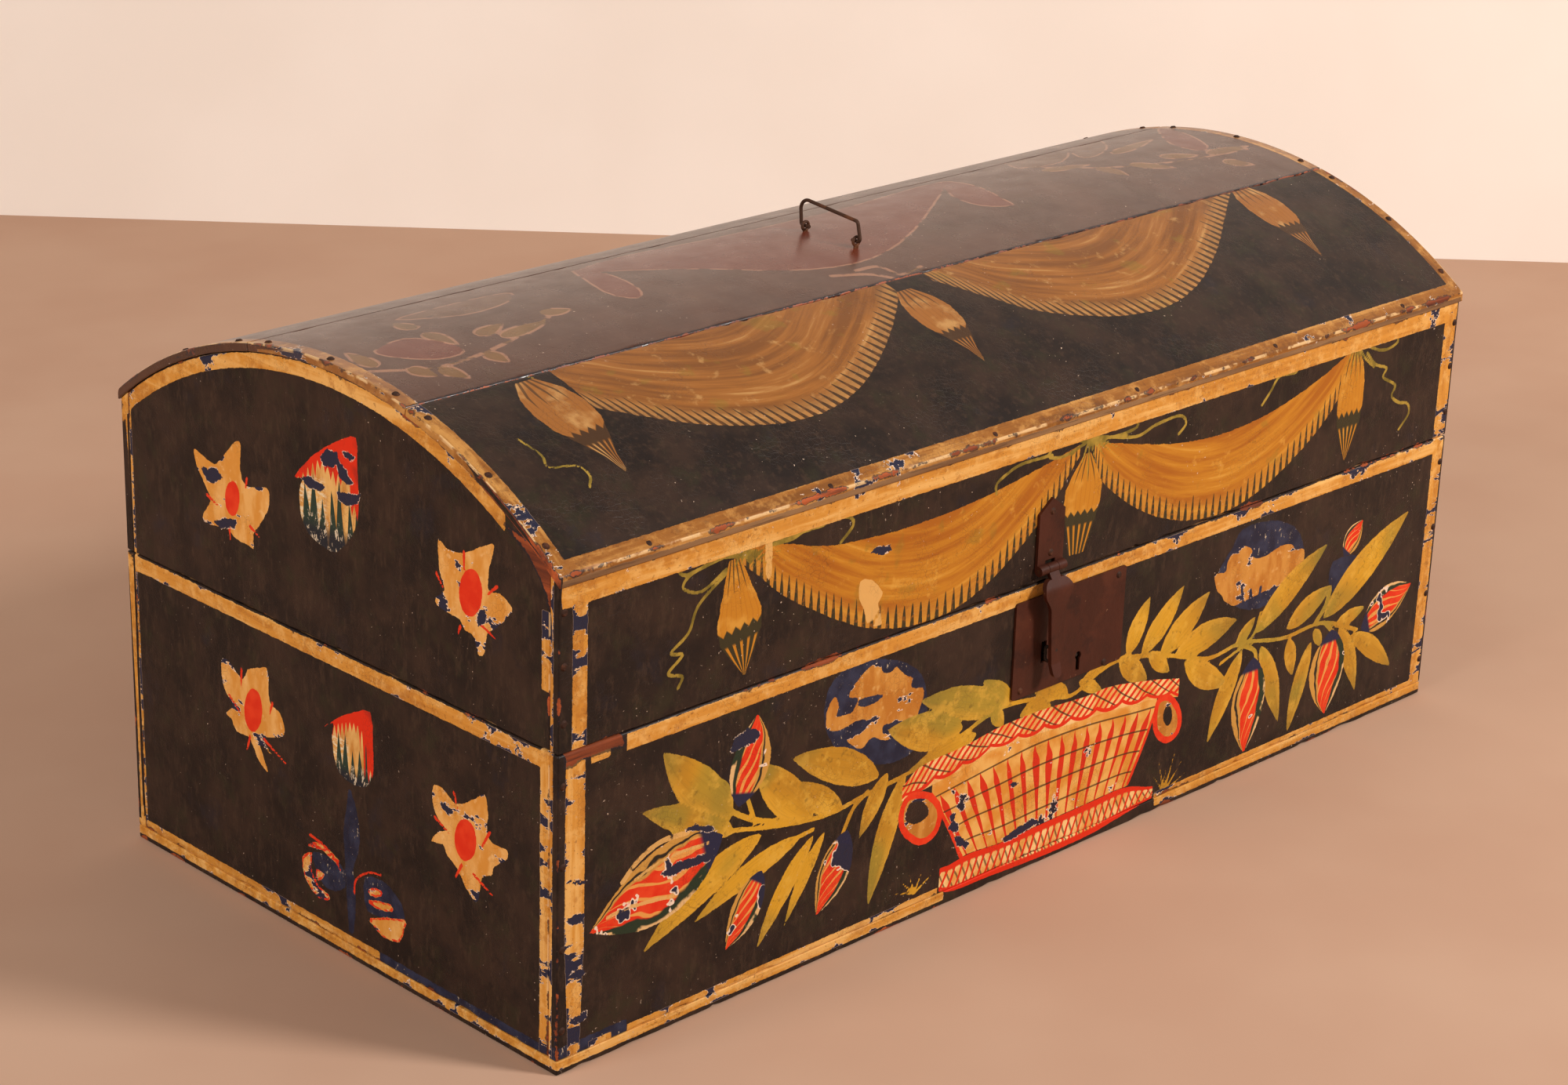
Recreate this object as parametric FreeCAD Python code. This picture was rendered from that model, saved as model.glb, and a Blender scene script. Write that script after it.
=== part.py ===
import FreeCAD, Part
import math
import os

Vector = FreeCAD.Vector

# A small dome-topped wedding chest of thin painted boards with wrought-iron fittings.
# Lengths are millimetres. X runs along the chest, its front faces -Y and Z is up.
# The origin is on the floor, under the middle of the closed chest.

# Overall sizes
chest_length = 560.0
chest_depth = 276.0
box_height = 134.0
lid_rail_height = 67.0
roof_rise = 48.0

# Boards
wall_thickness = 5.0
bottom_thickness = 6.0
roof_thickness = 3.6
roof_front_overhang = 1.0
roof_end_overhang = 0.8
roof_middle_width = 100.0
roof_middle_shift = -2.0
roof_joint_gap = 0.3
lid_seam_gap = 0.4
edge_round = 0.6

# Nails
nail_shank_radius = 0.7
nail_head_radius = 1.6
nail_head_height = 0.7
nail_head_top_share = 0.6
nail_point_share = 0.25
nail_tip_share = 0.3
long_nail_length = 13.0
roof_nail_length = 11.0
roof_rail_nail_length = 8.5
short_nail_length = 4.2
box_corner_nail_shares = (0.1, 0.37, 0.64, 0.9)
lid_corner_nail_shares = (0.18, 0.52, 0.84)
bottom_long_nail_shares = (0.06, 0.24, 0.41, 0.59, 0.77, 0.94)
bottom_end_nail_shares = (0.2, 0.5, 0.8)
roof_end_nail_shares = (0.1, 0.5, 0.9)
roof_rail_nail_shares = (0.08, 0.25, 0.42, 0.58, 0.75, 0.92)
roof_rail_nail_seat_share = 0.56
roof_rail_nail_lean = 20.0
roof_rail_nail_sink = 0.5

# Loop hinges at the back: an eye in the box holds a long link in the lid
hinge_inset = 105.0
hinge_wire_radius = 0.8
hinge_axis_out = 3.4
hinge_axis_drop = 3.0
hinge_eye_radius = 3.6
hinge_eye_centre_out = 1.3
hinge_eye_centre_drop = 0.9
hinge_link_width = 6.8
hinge_link_height = 12.0
hinge_link_taper = 3.0
hinge_link_bend = 1.3
hinge_leg_reach = 11.0
eye_leg_bend_share = 1.5
eye_wire_spacing_share = 0.9

# Carrying bail on the roof's middle board, set across the chest
handle_x = -8.0
handle_y = -4.0
bail_span = 36.0
bail_back_height = 12.2
bail_front_height = 8.8
bail_back_spread = 1.0
bail_front_pinch = 2.0
bail_wire_radius = 0.8
bail_back_bend = 4.5
bail_front_bend = 1.6
bail_foot_bend = 1.3
bail_foot_length = 5.0
bail_eye_clearance = 0.35
bail_eye_wire_radius = 0.7
bail_eye_leg_reach = 8.0

# Lock plate on the front board
plate_width = 71.0
plate_height = 44.0
plate_thickness = 1.0
plate_centre_x = 8.0
plate_top_drop = 6.0
plate_corner_radius = 1.2
plate_nail_inset = 5.0
plate_nail_edge = 3.3
plate_low_nail_inset = 11.5

# Keyhole, counted from the plate's middle line and lower edge
keyhole_offset_x = 6.5
keyhole_bottom = 2.7
keyhole_height = 8.8
keyhole_round_radius = 1.9
keyhole_stem_width = 2.3
key_pin_radius = 0.75

# Strap on the lid's rail, its knuckles and pin
hasp_offset_x = -16.5
strap_width = 16.0
strap_height = 31.0
strap_thickness = 1.4
strap_point_height = 6.0
strap_nail_edge = 3.0
knuckle_height = 6.0
knuckle_gap_height = 3.6
pin_radius = 0.8
pin_running_clearance = 0.05
knuckle_side_clearance = 0.2

# Hasp arm, hanging from the pin in front of the lock plate
arm_thickness = 1.8
arm_standoff = 5.2
arm_home_gap = 0.6
arm_neck_width = 5.8
arm_shoulder_width = 17.4
arm_waist_width = 9.4
arm_tip_width = 5.2
arm_neck_drop = 3.8
arm_shoulder_drop = 8.8
arm_waist_drop = 18.0
arm_length = 48.0
arm_bend_radius = 4.0
arm_slant_drop = 8.0
arm_curl_length = 6.0
arm_curl_out = 1.8
shoulder_rise_shares = (0.72, 0.3)
shoulder_fall_shares = (0.42, 0.52)

# Staple on the arm's back, and the sliding bolt that holds it
staple_drop = 39.0
staple_depth = 5.0
staple_height = 6.4
staple_wire_radius = 0.75
staple_bend_radius = 1.1
slot_clearance = 0.9
bolt_height = 3.8
bolt_thickness = 1.2
bolt_throw = 8.5
bolt_head_gap = 1.2
bolt_play = 0.2
bolt_tail_gap = 1.2
bolt_notch_width = 5.0
bolt_notch_depth = 1.9
guide_width = 3.0
guide_wall = 1.1
guide_left_gap = 2.6
guide_key_gap = 8.0
mortise_margin = 0.6
mortise_left = 9.5
mortise_top = 9.0
cover_margin = 5.0
cover_thickness = 1.0
cover_nail_inset = 2.5
spring_thickness = 0.5
spring_width = 2.4
spring_rise = 4.5
spring_length = 17.0
spring_toe_length = 4.0
spring_toe_rise = 1.4
spring_foot_length = 5.0
spring_bend_radius = 2.0

# A cut runs this far past the piece it goes through
overrun = 2.0

# Planes and lines worked out from the sizes above
half_length = chest_length / 2
half_depth = chest_depth / 2
front_face = -half_depth
front_inner = front_face + wall_thickness
lid_bottom = box_height + lid_seam_gap
rail_top = lid_bottom + lid_rail_height
roof_inner_radius = (half_depth ** 2 + roof_rise ** 2) / (2 * roof_rise)
roof_outer_radius = roof_inner_radius + roof_thickness
roof_axis_z = rail_top + roof_rise - roof_inner_radius
roof_eave_y = half_depth + roof_front_overhang
hinge_axis_y = half_depth + hinge_axis_out
hinge_axis_z = box_height - hinge_axis_drop
plate_front = front_face - plate_thickness
plate_top = box_height - plate_top_drop
plate_bottom = plate_top - plate_height
hasp_x = plate_centre_x + hasp_offset_x
knuckle_radius = pin_radius + strap_thickness
hasp_pivot_y = front_face - knuckle_radius
hasp_pivot_z = lid_bottom + knuckle_height
arm_middle_y = plate_front - arm_standoff - arm_thickness / 2
arm_tip_z = hasp_pivot_z - arm_length
hasp_home_angle = math.asin((arm_standoff - arm_home_gap) / staple_drop)
staple_z = hasp_pivot_z - staple_drop
bolt_z = hasp_pivot_z - staple_drop * math.cos(hasp_home_angle)
bolt_front = front_face + bolt_play
keyhole_x = plate_centre_x + keyhole_offset_x
keyhole_low = plate_bottom + keyhole_bottom
key_pivot_z = keyhole_low + keyhole_height - keyhole_round_radius
guide_left_x = hasp_x + staple_wire_radius + bolt_head_gap + guide_left_gap + guide_width / 2
guide_right_x = keyhole_x + guide_key_gap + guide_width / 2
bolt_head_x = hasp_x + staple_wire_radius + bolt_head_gap
bolt_tail_x = guide_right_x + guide_width / 2 + bolt_throw + bolt_play
mortise_low = Vector(hasp_x - mortise_left, front_face, keyhole_low - mortise_margin)
mortise_high = Vector(bolt_tail_x + bolt_tail_gap, front_inner, bolt_z + mortise_top)
bail_eye_radius = bail_wire_radius + bail_eye_clearance + bail_eye_wire_radius
bail_axis_z = roof_axis_z + roof_outer_radius + bail_eye_radius + bail_eye_wire_radius / 2


def block(low, high):
    """A square-cut block between two opposite corners."""
    return Part.makeBox(high.x - low.x, high.y - low.y, high.z - low.z, low)


def eased(solid):
    """The same board with its arrises rubbed round."""
    return solid.makeFillet(edge_round, solid.Edges)


def closed_prism(edges, depth):
    """A flat outline of joined edges, drawn out along a vector."""
    return Part.Face(Part.Wire(edges)).extrude(depth)


def line(start, end):
    """One straight edge."""
    return Part.LineSegment(start, end).toShape()


def bent_path(points, bend_radii):
    """Straight runs from point to point, joined by tangent arcs."""
    edges = []
    run_start = points[0]
    for before, corner, after, radius in zip(points, points[1:], points[2:], bend_radii):
        back = (before - corner).normalize()
        ahead = (after - corner).normalize()
        half_turn = (math.pi - back.getAngle(ahead)) / 2
        trim = radius * math.tan(half_turn)
        middle = (back + ahead).normalize() * (radius / math.cos(half_turn) - radius)
        arc_end = corner + ahead * trim
        edges.append(line(run_start, corner + back * trim))
        edges.append(Part.Arc(corner + back * trim, corner + middle, arc_end).toShape())
        run_start = arc_end
    edges.append(line(run_start, points[-1]))
    return Part.Wire(edges)


def bent_wire(points, bend_radii, wire_radius):
    """A round wire bent through the points."""
    first_run = points[1] - points[0]
    section = Part.Wire(Part.Circle(points[0], first_run, wire_radius).toShape())
    return bent_path(points, bend_radii).makePipeShell([section], True, False)


def bent_strip(points, bend_radius, thickness, width):
    """A flat strip bent through points that share one plane, with its width square to it."""
    first_run = points[1] - points[0]
    across = width * 0.5
    up = first_run.cross(width).normalize() * (thickness / 2)
    start = points[0]
    corners = [start - across - up, start + across - up, start + across + up, start - across + up]
    section = Part.makePolygon(corners + [corners[0]])
    path = bent_path(points, [bend_radius] * (len(points) - 2))
    return path.makePipeShell([section], True, False)


def nail(start, direction, length):
    """A forged nail: domed head outside the surface, shank and point inside it."""
    head_top = nail_head_radius * nail_head_top_share
    point_length = length * nail_point_share
    point_start = start + direction * (length - point_length)
    head = Part.makeCone(nail_head_radius, head_top, nail_head_height, start, direction * -1)
    shank = Part.makeCylinder(nail_shank_radius, length - point_length, start, direction)
    tip = Part.makeCone(nail_shank_radius, nail_shank_radius * nail_tip_share, point_length, point_start, direction)
    return head.fuse([shank, tip]).removeSplitter()


def roof_point(radius, angle, x=0.0):
    """A point of the dome's section: angle 0 is the crown and +angle leans to the back."""
    return Vector(x, radius * math.sin(angle), roof_axis_z + radius * math.cos(angle))


def arch_height(y):
    """Height of the roof's underside over a line at depth y."""
    return roof_axis_z + math.sqrt(roof_inner_radius ** 2 - y ** 2)


def corner_nails(low, high, height_shares):
    """Nails driven through the front and back boards into the edges of both end boards."""
    nails = []
    for side in (-1, 1):
        x = side * (half_length - wall_thickness / 2)
        for share in height_shares:
            z = low + (high - low) * share
            nails.append(nail(Vector(x, -half_depth, z), Vector(0, 1, 0), long_nail_length))
            nails.append(nail(Vector(x, half_depth, z), Vector(0, -1, 0), long_nail_length))
    return nails


def bottom_nails():
    """Nails sunk flush in the bottom board, up into the walls' lower edges."""
    up = Vector(0, 0, 1)
    nails = []
    for side in (-1, 1):
        for share in bottom_long_nail_shares:
            x = chest_length * (share - 0.5)
            y = side * (half_depth - wall_thickness / 2)
            nails.append(nail(Vector(x, y, nail_head_height), up, long_nail_length))
        for share in bottom_end_nail_shares:
            x = side * (half_length - wall_thickness / 2)
            y = chest_depth * (share - 0.5)
            nails.append(nail(Vector(x, y, nail_head_height), up, long_nail_length))
    return nails


def eave_angle(radius):
    """Angle at which the eaves' upright cut meets a circle about the roof's axis."""
    return math.asin(roof_eave_y / radius)


def roof_spans():
    """Start and end angles of the front, middle and back roof boards."""
    open_angle = eave_angle(roof_inner_radius)
    half_gap = roof_joint_gap / 2 / roof_outer_radius
    front_joint = (roof_middle_shift - roof_middle_width / 2) / roof_outer_radius
    back_joint = (roof_middle_shift + roof_middle_width / 2) / roof_outer_radius
    return [
        (-open_angle, front_joint - half_gap),
        (front_joint + half_gap, back_joint - half_gap),
        (back_joint + half_gap, open_angle),
    ]


def roof_end_nail_angles():
    """Each board is nailed near both its edges and in between, over the end boards only."""
    reach = math.asin((half_depth - wall_thickness) / roof_inner_radius)
    angles = []
    for start, end in roof_spans():
        first = max(start, -reach)
        last = min(end, reach)
        angles += [first + (last - first) * share for share in roof_end_nail_shares]
    return angles


def roof_end_nails():
    """Nails square to the roof, down into the arched edges of the lid's end boards."""
    nails = []
    for side in (-1, 1):
        x = side * (half_length - wall_thickness / 2)
        for angle in roof_end_nail_angles():
            inward = roof_point(0, angle) - roof_point(1, angle)
            nails.append(nail(roof_point(roof_outer_radius, angle, x), inward, roof_nail_length))
    return nails


def roof_rail_nails():
    """Shorter nails, leaning inwards, through the roof's front and back edges into the lid's rails.

    Each is driven until its head beds in the slope of the roof.
    """
    seat_y = half_depth - wall_thickness * roof_rail_nail_seat_share
    seat_z = arch_height(seat_y)
    lean = math.radians(roof_rail_nail_lean)
    reach = seat_y * math.sin(lean) + (seat_z - roof_axis_z) * math.cos(lean)
    board_way = math.sqrt(reach ** 2 + roof_outer_radius ** 2 - roof_inner_radius ** 2) - reach
    nails = []
    for side in (-1, 1):
        inward = Vector(0, -side * math.sin(lean), -math.cos(lean))
        for share in roof_rail_nail_shares:
            seat = Vector(chest_length * (share - 0.5), side * seat_y, seat_z)
            start = seat - inward * (board_way - roof_rail_nail_sink)
            nails.append(nail(start, inward, roof_rail_nail_length))
    return nails


def box_long_board(side):
    """Front (-1) or back (+1) board of the box; it covers the end boards' edges."""
    low = Vector(-half_length, min(side * half_depth, side * (half_depth - wall_thickness)), bottom_thickness)
    high = Vector(half_length, low.y + wall_thickness, box_height)
    return eased(block(low, high))


def box_end_board(side):
    """Left (-1) or right (+1) end board, held between the long boards."""
    outer = side * half_length
    inner = side * (half_length - wall_thickness)
    low = Vector(min(outer, inner), front_inner, bottom_thickness)
    high = Vector(max(outer, inner), -front_inner, box_height)
    return eased(block(low, high))


def box_bottom_board():
    """Bottom board, flush with the walls' outer faces."""
    low = Vector(-half_length, -half_depth, 0)
    return eased(block(low, Vector(half_length, half_depth, bottom_thickness)))


def lock_mortise():
    """The opening cut through the front board for the bolt, the staple and the key."""
    reach = Vector(0, overrun, 0)
    return block(mortise_low - reach, mortise_high + reach)


def lid_rail(side):
    """Front (-1) or back (+1) rail of the lid; its top follows the roof."""
    outer = side * half_depth
    inner = side * (half_depth - wall_thickness)
    middle = (outer + inner) / 2
    x = -half_length
    bottom_outer = Vector(x, outer, lid_bottom)
    bottom_inner = Vector(x, inner, lid_bottom)
    top_outer = Vector(x, outer, arch_height(outer))
    top_middle = Vector(x, middle, arch_height(middle))
    top_inner = Vector(x, inner, arch_height(inner))
    edges = [
        line(bottom_outer, bottom_inner),
        line(bottom_inner, top_inner),
        Part.Arc(top_inner, top_middle, top_outer).toShape(),
        line(top_outer, bottom_outer),
    ]
    return eased(closed_prism(edges, Vector(chest_length, 0, 0)))


def lid_end_board(side):
    """Left (-1) or right (+1) arched end board of the lid, between the rails."""
    x = min(side * half_length, side * (half_length - wall_thickness))
    shoulder = arch_height(front_inner)
    bottom_front = Vector(x, front_inner, lid_bottom)
    bottom_back = Vector(x, -front_inner, lid_bottom)
    top_front = Vector(x, front_inner, shoulder)
    top_back = Vector(x, -front_inner, shoulder)
    edges = [
        line(bottom_front, bottom_back),
        line(bottom_back, top_back),
        Part.Arc(top_back, roof_point(roof_inner_radius, 0, x), top_front).toShape(),
        line(top_front, bottom_front),
    ]
    return eased(closed_prism(edges, Vector(wall_thickness, 0, 0)))


def roof_board(start_angle, end_angle):
    """One thin board of the dome, bent over the lid's ends.

    Its joints are square to the dome and its eave is cut upright.
    """
    x = -half_length - roof_end_overhang
    arcs = []
    for radius in (roof_inner_radius, roof_outer_radius):
        start = max(start_angle, -eave_angle(radius))
        end = min(end_angle, eave_angle(radius))
        arcs.append([roof_point(radius, angle, x) for angle in (start, (start + end) / 2, end)])
    inner, outer = arcs
    edges = [
        Part.Arc(*inner).toShape(),
        line(inner[-1], outer[-1]),
        Part.Arc(*reversed(outer)).toShape(),
        line(outer[0], inner[0]),
    ]
    return eased(closed_prism(edges, Vector(chest_length + 2 * roof_end_overhang, 0, 0)))


def eye_pin(centre, ring_axis, inward, spread, ring_radius, wire_radius, face_depth, leg_reach):
    """A split pin: a ring, two wires through the board and two legs turned apart inside it."""
    ring = Part.makeTorus(ring_radius, wire_radius, centre, ring_axis)
    spacing = wire_radius * eye_wire_spacing_share
    aside = ring_axis.cross(inward)
    wires = []
    for side in (-1, 1):
        offset = aside * (side * spacing)
        start = centre + offset + inward * math.sqrt(ring_radius ** 2 - spacing ** 2)
        elbow = centre + offset + inward * (face_depth + wire_radius)
        end = elbow + spread * (side * leg_reach)
        wires.append(bent_wire([start, elbow, end], [wire_radius * eye_leg_bend_share], wire_radius))
    return ring.fuse(wires)


def box_hinge_eye(side):
    """The hinge's eye in the back board, its ring upright and square to the board."""
    centre = Vector(
        side * (half_length - hinge_inset),
        hinge_axis_y + hinge_eye_centre_out,
        hinge_axis_z - hinge_eye_centre_drop,
    )
    face_depth = centre.y - (half_depth - wall_thickness)
    inward = Vector(0, -1, 0)
    along = Vector(1, 0, 0)
    return eye_pin(centre, along, inward, along, hinge_eye_radius, hinge_wire_radius, face_depth, hinge_leg_reach)


def lid_hinge_link(side):
    """The hinge's long link: its lower bar is the axis and its legs go through the lid's back rail."""
    x = side * (half_length - hinge_inset)
    half_width = hinge_link_width / 2
    near = hinge_wire_radius * eye_wire_spacing_share
    y_out = hinge_axis_y
    y_in = half_depth - wall_thickness - hinge_wire_radius
    z_low = hinge_axis_z
    z_high = hinge_axis_z + hinge_link_height
    z_taper = z_high - hinge_link_taper
    left_half = [
        Vector(x - near - hinge_leg_reach, y_in, z_high),
        Vector(x - near, y_in, z_high),
        Vector(x - near, y_out, z_high),
        Vector(x - half_width, y_out, z_taper),
        Vector(x - half_width, y_out, z_low),
    ]
    right_half = [Vector(2 * x - point.x, point.y, point.z) for point in reversed(left_half)]
    return bent_wire(left_half + right_half, [hinge_link_bend] * 8, hinge_wire_radius)


def handle_eye(side):
    """One of the two split pins in the roof that hold the bail's feet."""
    y = handle_y + side * (bail_span / 2 - bail_foot_length / 2)
    centre = Vector(handle_x, y, bail_axis_z)
    down = Vector(0, 0, -1)
    face_depth = bail_axis_z - arch_height(y)
    spread = Vector(1, 0, 0)
    across = Vector(0, 1, 0)
    return eye_pin(
        centre, across, down, spread * -1, bail_eye_radius, bail_eye_wire_radius, face_depth, bail_eye_leg_reach
    )


def bail_handle():
    """The wire bail, standing up, bent low at the front, with its feet turned inwards through the eyes."""
    foot = bail_span / 2 - bail_foot_length
    places = [
        (-foot, bail_axis_z),
        (-bail_span / 2, bail_axis_z),
        (bail_front_pinch - bail_span / 2, bail_axis_z + bail_front_height),
        (bail_span / 2 + bail_back_spread, bail_axis_z + bail_back_height),
        (bail_span / 2, bail_axis_z),
        (foot, bail_axis_z),
    ]
    points = [Vector(handle_x, handle_y + y, z) for y, z in places]
    bends = [bail_foot_bend, bail_front_bend, bail_back_bend, bail_foot_bend]
    return bent_wire(points, bends, bail_wire_radius)


def lock_plate_nails():
    """The three nails of the lock plate that are left: top right, lower right and lower left."""
    left = plate_centre_x - plate_width / 2
    right = plate_centre_x + plate_width / 2
    places = [
        (right - plate_nail_inset, plate_top - plate_nail_edge),
        (right - plate_low_nail_inset, plate_bottom + nail_head_radius),
        (left + plate_nail_inset, plate_bottom + plate_nail_edge),
    ]
    inward = Vector(0, 1, 0)
    return [nail(Vector(x, plate_front, z), inward, plate_thickness + short_nail_length) for x, z in places]


def keyhole():
    """The keyhole's cutter: a round head over a narrow stem."""
    start_y = plate_front - overrun
    reach = plate_thickness + 2 * overrun
    round_part = Part.makeCylinder(
        keyhole_round_radius, reach, Vector(keyhole_x, start_y, key_pivot_z), Vector(0, 1, 0)
    )
    stem = block(
        Vector(keyhole_x - keyhole_stem_width / 2, start_y, keyhole_low),
        Vector(keyhole_x + keyhole_stem_width / 2, start_y + reach, key_pivot_z),
    )
    return round_part.fuse(stem)


def staple_slot():
    """The upright slot in the plate that the hasp's staple enters."""
    half_width = staple_wire_radius + slot_clearance
    half_height = staple_height / 2 + staple_wire_radius + slot_clearance
    return block(
        Vector(hasp_x - half_width, plate_front - overrun, bolt_z - half_height),
        Vector(hasp_x + half_width, front_face + overrun, bolt_z + half_height),
    )


def lock_plate(nails):
    """The iron plate on the front board, with its keyhole and staple slot."""
    low = Vector(plate_centre_x - plate_width / 2, plate_front, plate_bottom)
    high = Vector(plate_centre_x + plate_width / 2, front_face, plate_top)
    plate = block(low, high)
    corners = [edge for edge in plate.Edges if edge.BoundBox.YLength > plate_thickness / 2]
    plate = plate.makeFillet(plate_corner_radius, corners)
    return plate.cut([keyhole(), staple_slot()] + nails)


def lock_cover_corners():
    """Lower left and upper right corners of the inner cover, clear round the mortise."""
    margin = Vector(cover_margin, 0, cover_margin)
    low = Vector(mortise_low.x, front_inner, mortise_low.z) - margin
    high = Vector(mortise_high.x, front_inner + cover_thickness, mortise_high.z) + margin
    return low, high


def lock_cover_nails():
    """Four short nails at the cover's corners, driven from inside the box."""
    low, high = lock_cover_corners()
    outward = Vector(0, -1, 0)
    nails = []
    for x in (low.x + cover_nail_inset, high.x - cover_nail_inset):
        for z in (low.z + cover_nail_inset, high.z - cover_nail_inset):
            nails.append(nail(Vector(x, high.y, z), outward, cover_thickness + short_nail_length))
    return nails


def lock_cover(nails):
    """The thin iron cover that closes the lock from inside."""
    low, high = lock_cover_corners()
    return block(low, high).cut(nails)


def lock_bolt():
    """The bolt, drawn back, with the notch that the key pushes in its lower edge."""
    low = Vector(bolt_head_x, bolt_front, bolt_z - bolt_height / 2)
    high = Vector(bolt_tail_x, bolt_front + bolt_thickness, bolt_z + bolt_height / 2)
    notch_x = keyhole_x + bolt_throw / 2
    notch_low = Vector(notch_x - bolt_notch_width / 2, low.y - overrun, low.z - overrun)
    notch_high = Vector(notch_x + bolt_notch_width / 2, high.y + overrun, low.z + bolt_notch_depth)
    return block(low, high).cut(block(notch_low, notch_high))


def bolt_guide(x):
    """A bridge on the plate's back that the bolt slides through."""
    inner_half = bolt_height / 2 + bolt_play
    outer_half = inner_half + guide_wall
    inner_back = bolt_front + bolt_thickness + bolt_play
    outer = block(
        Vector(x - guide_width / 2, front_face, bolt_z - outer_half),
        Vector(x + guide_width / 2, inner_back + guide_wall, bolt_z + outer_half),
    )
    passage = block(
        Vector(x - guide_width, front_face - overrun, bolt_z - inner_half),
        Vector(x + guide_width, inner_back, bolt_z + inner_half),
    )
    return outer.cut(passage)


def lock_key_pin():
    """The pin that a pipe key turns on, standing out from the inner cover."""
    start = Vector(keyhole_x, front_inner, key_pivot_z)
    return Part.makeCylinder(key_pin_radius, front_inner - front_face, start, Vector(0, -1, 0))


def lock_spring():
    """The leaf spring over the bolt, its edge against the plate's back."""
    y = front_face + spring_width / 2
    z_touch = bolt_z + bolt_height / 2 + bolt_play + spring_thickness / 2
    x_foot = guide_right_x + guide_width / 2
    x_touch = x_foot - spring_length
    points = [
        Vector(x_foot + spring_foot_length, y, z_touch + spring_rise),
        Vector(x_foot, y, z_touch + spring_rise),
        Vector(x_touch, y, z_touch),
        Vector(x_touch - spring_toe_length, y, z_touch + spring_toe_rise),
    ]
    return bent_strip(points, spring_bend_radius, spring_thickness, Vector(0, spring_width, 0))


def hasp_strap_nails():
    """Two nails hold the strap: one under its point and one over the knuckle gap."""
    top = hasp_pivot_z + strap_height
    heights = [top - strap_point_height, hasp_pivot_z + knuckle_gap_height + strap_nail_edge]
    start_y = front_face - strap_thickness
    inward = Vector(0, 1, 0)
    return [nail(Vector(hasp_x, start_y, z), inward, strap_thickness + short_nail_length) for z in heights]


def hasp_hinge_pin():
    """The pin through the strap's knuckles, which the hasp turns on."""
    start = Vector(hasp_x - strap_width / 2, hasp_pivot_y, hasp_pivot_z)
    return Part.makeCylinder(pin_radius, strap_width, start, Vector(1, 0, 0))


def hasp_strap(nails, pin):
    """The pointed strap on the lid's front rail, with two knuckles at its foot."""
    left = hasp_x - strap_width / 2
    right = hasp_x + strap_width / 2
    outer_y = front_face - strap_thickness
    top = hasp_pivot_z + strap_height
    shoulder = top - strap_point_height
    corners = [
        Vector(left, outer_y, hasp_pivot_z),
        Vector(right, outer_y, hasp_pivot_z),
        Vector(right, outer_y, shoulder),
        Vector(hasp_x, outer_y, top),
        Vector(left, outer_y, shoulder),
    ]
    plate = Part.Face(Part.makePolygon(corners + [corners[0]])).extrude(Vector(0, strap_thickness, 0))
    roll = Part.makeCylinder(knuckle_radius, strap_width, Vector(left, hasp_pivot_y, hasp_pivot_z), Vector(1, 0, 0))
    half_gap = arm_neck_width / 2 + knuckle_side_clearance
    gap = block(
        Vector(hasp_x - half_gap, hasp_pivot_y - knuckle_radius - overrun, hasp_pivot_z - knuckle_radius - overrun),
        Vector(hasp_x + half_gap, front_face + overrun, hasp_pivot_z + knuckle_gap_height),
    )
    return plate.fuse(roll).cut([gap, pin] + nails)


def arm_side_outline():
    """The arm's front outline from its neck to its waist, as half widths and drops below the pin."""
    neck = arm_neck_width / 2
    shoulder = arm_shoulder_width / 2
    waist = arm_waist_width / 2
    rise_width, rise_drop = shoulder_rise_shares
    fall_width, fall_drop = shoulder_fall_shares
    return [
        (neck, arm_neck_drop),
        (neck + (shoulder - neck) * rise_width, arm_neck_drop + (arm_shoulder_drop - arm_neck_drop) * rise_drop),
        (shoulder, arm_shoulder_drop),
        (waist + (shoulder - waist) * fall_width, arm_shoulder_drop + (arm_waist_drop - arm_shoulder_drop) * fall_drop),
        (waist, arm_waist_drop),
    ]


def arm_outline_edges(y):
    """The arm's whole front outline in the plane at y: neck, rounded shoulders, waist and round tip."""
    sides = []
    for side in (-1, 1):
        sides.append([Vector(hasp_x + side * half, y, hasp_pivot_z - drop) for half, drop in arm_side_outline()])
    left, right = sides
    neck_top = hasp_pivot_z + knuckle_radius + overrun
    top_left = Vector(left[0].x, y, neck_top)
    top_right = Vector(right[0].x, y, neck_top)
    tip_half = arm_tip_width / 2
    tip_left = Vector(hasp_x - tip_half, y, arm_tip_z + tip_half)
    tip_right = Vector(hasp_x + tip_half, y, arm_tip_z + tip_half)
    left_curve = Part.BSplineCurve()
    left_curve.interpolate(left)
    right_curve = Part.BSplineCurve()
    right_curve.interpolate(right[::-1])
    return [
        line(top_right, top_left),
        line(top_left, left[0]),
        left_curve.toShape(),
        line(left[-1], tip_left),
        Part.Arc(tip_left, Vector(hasp_x, y, arm_tip_z), tip_right).toShape(),
        line(tip_right, right[-1]),
        right_curve.toShape(),
        line(right[0], top_right),
    ]


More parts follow.
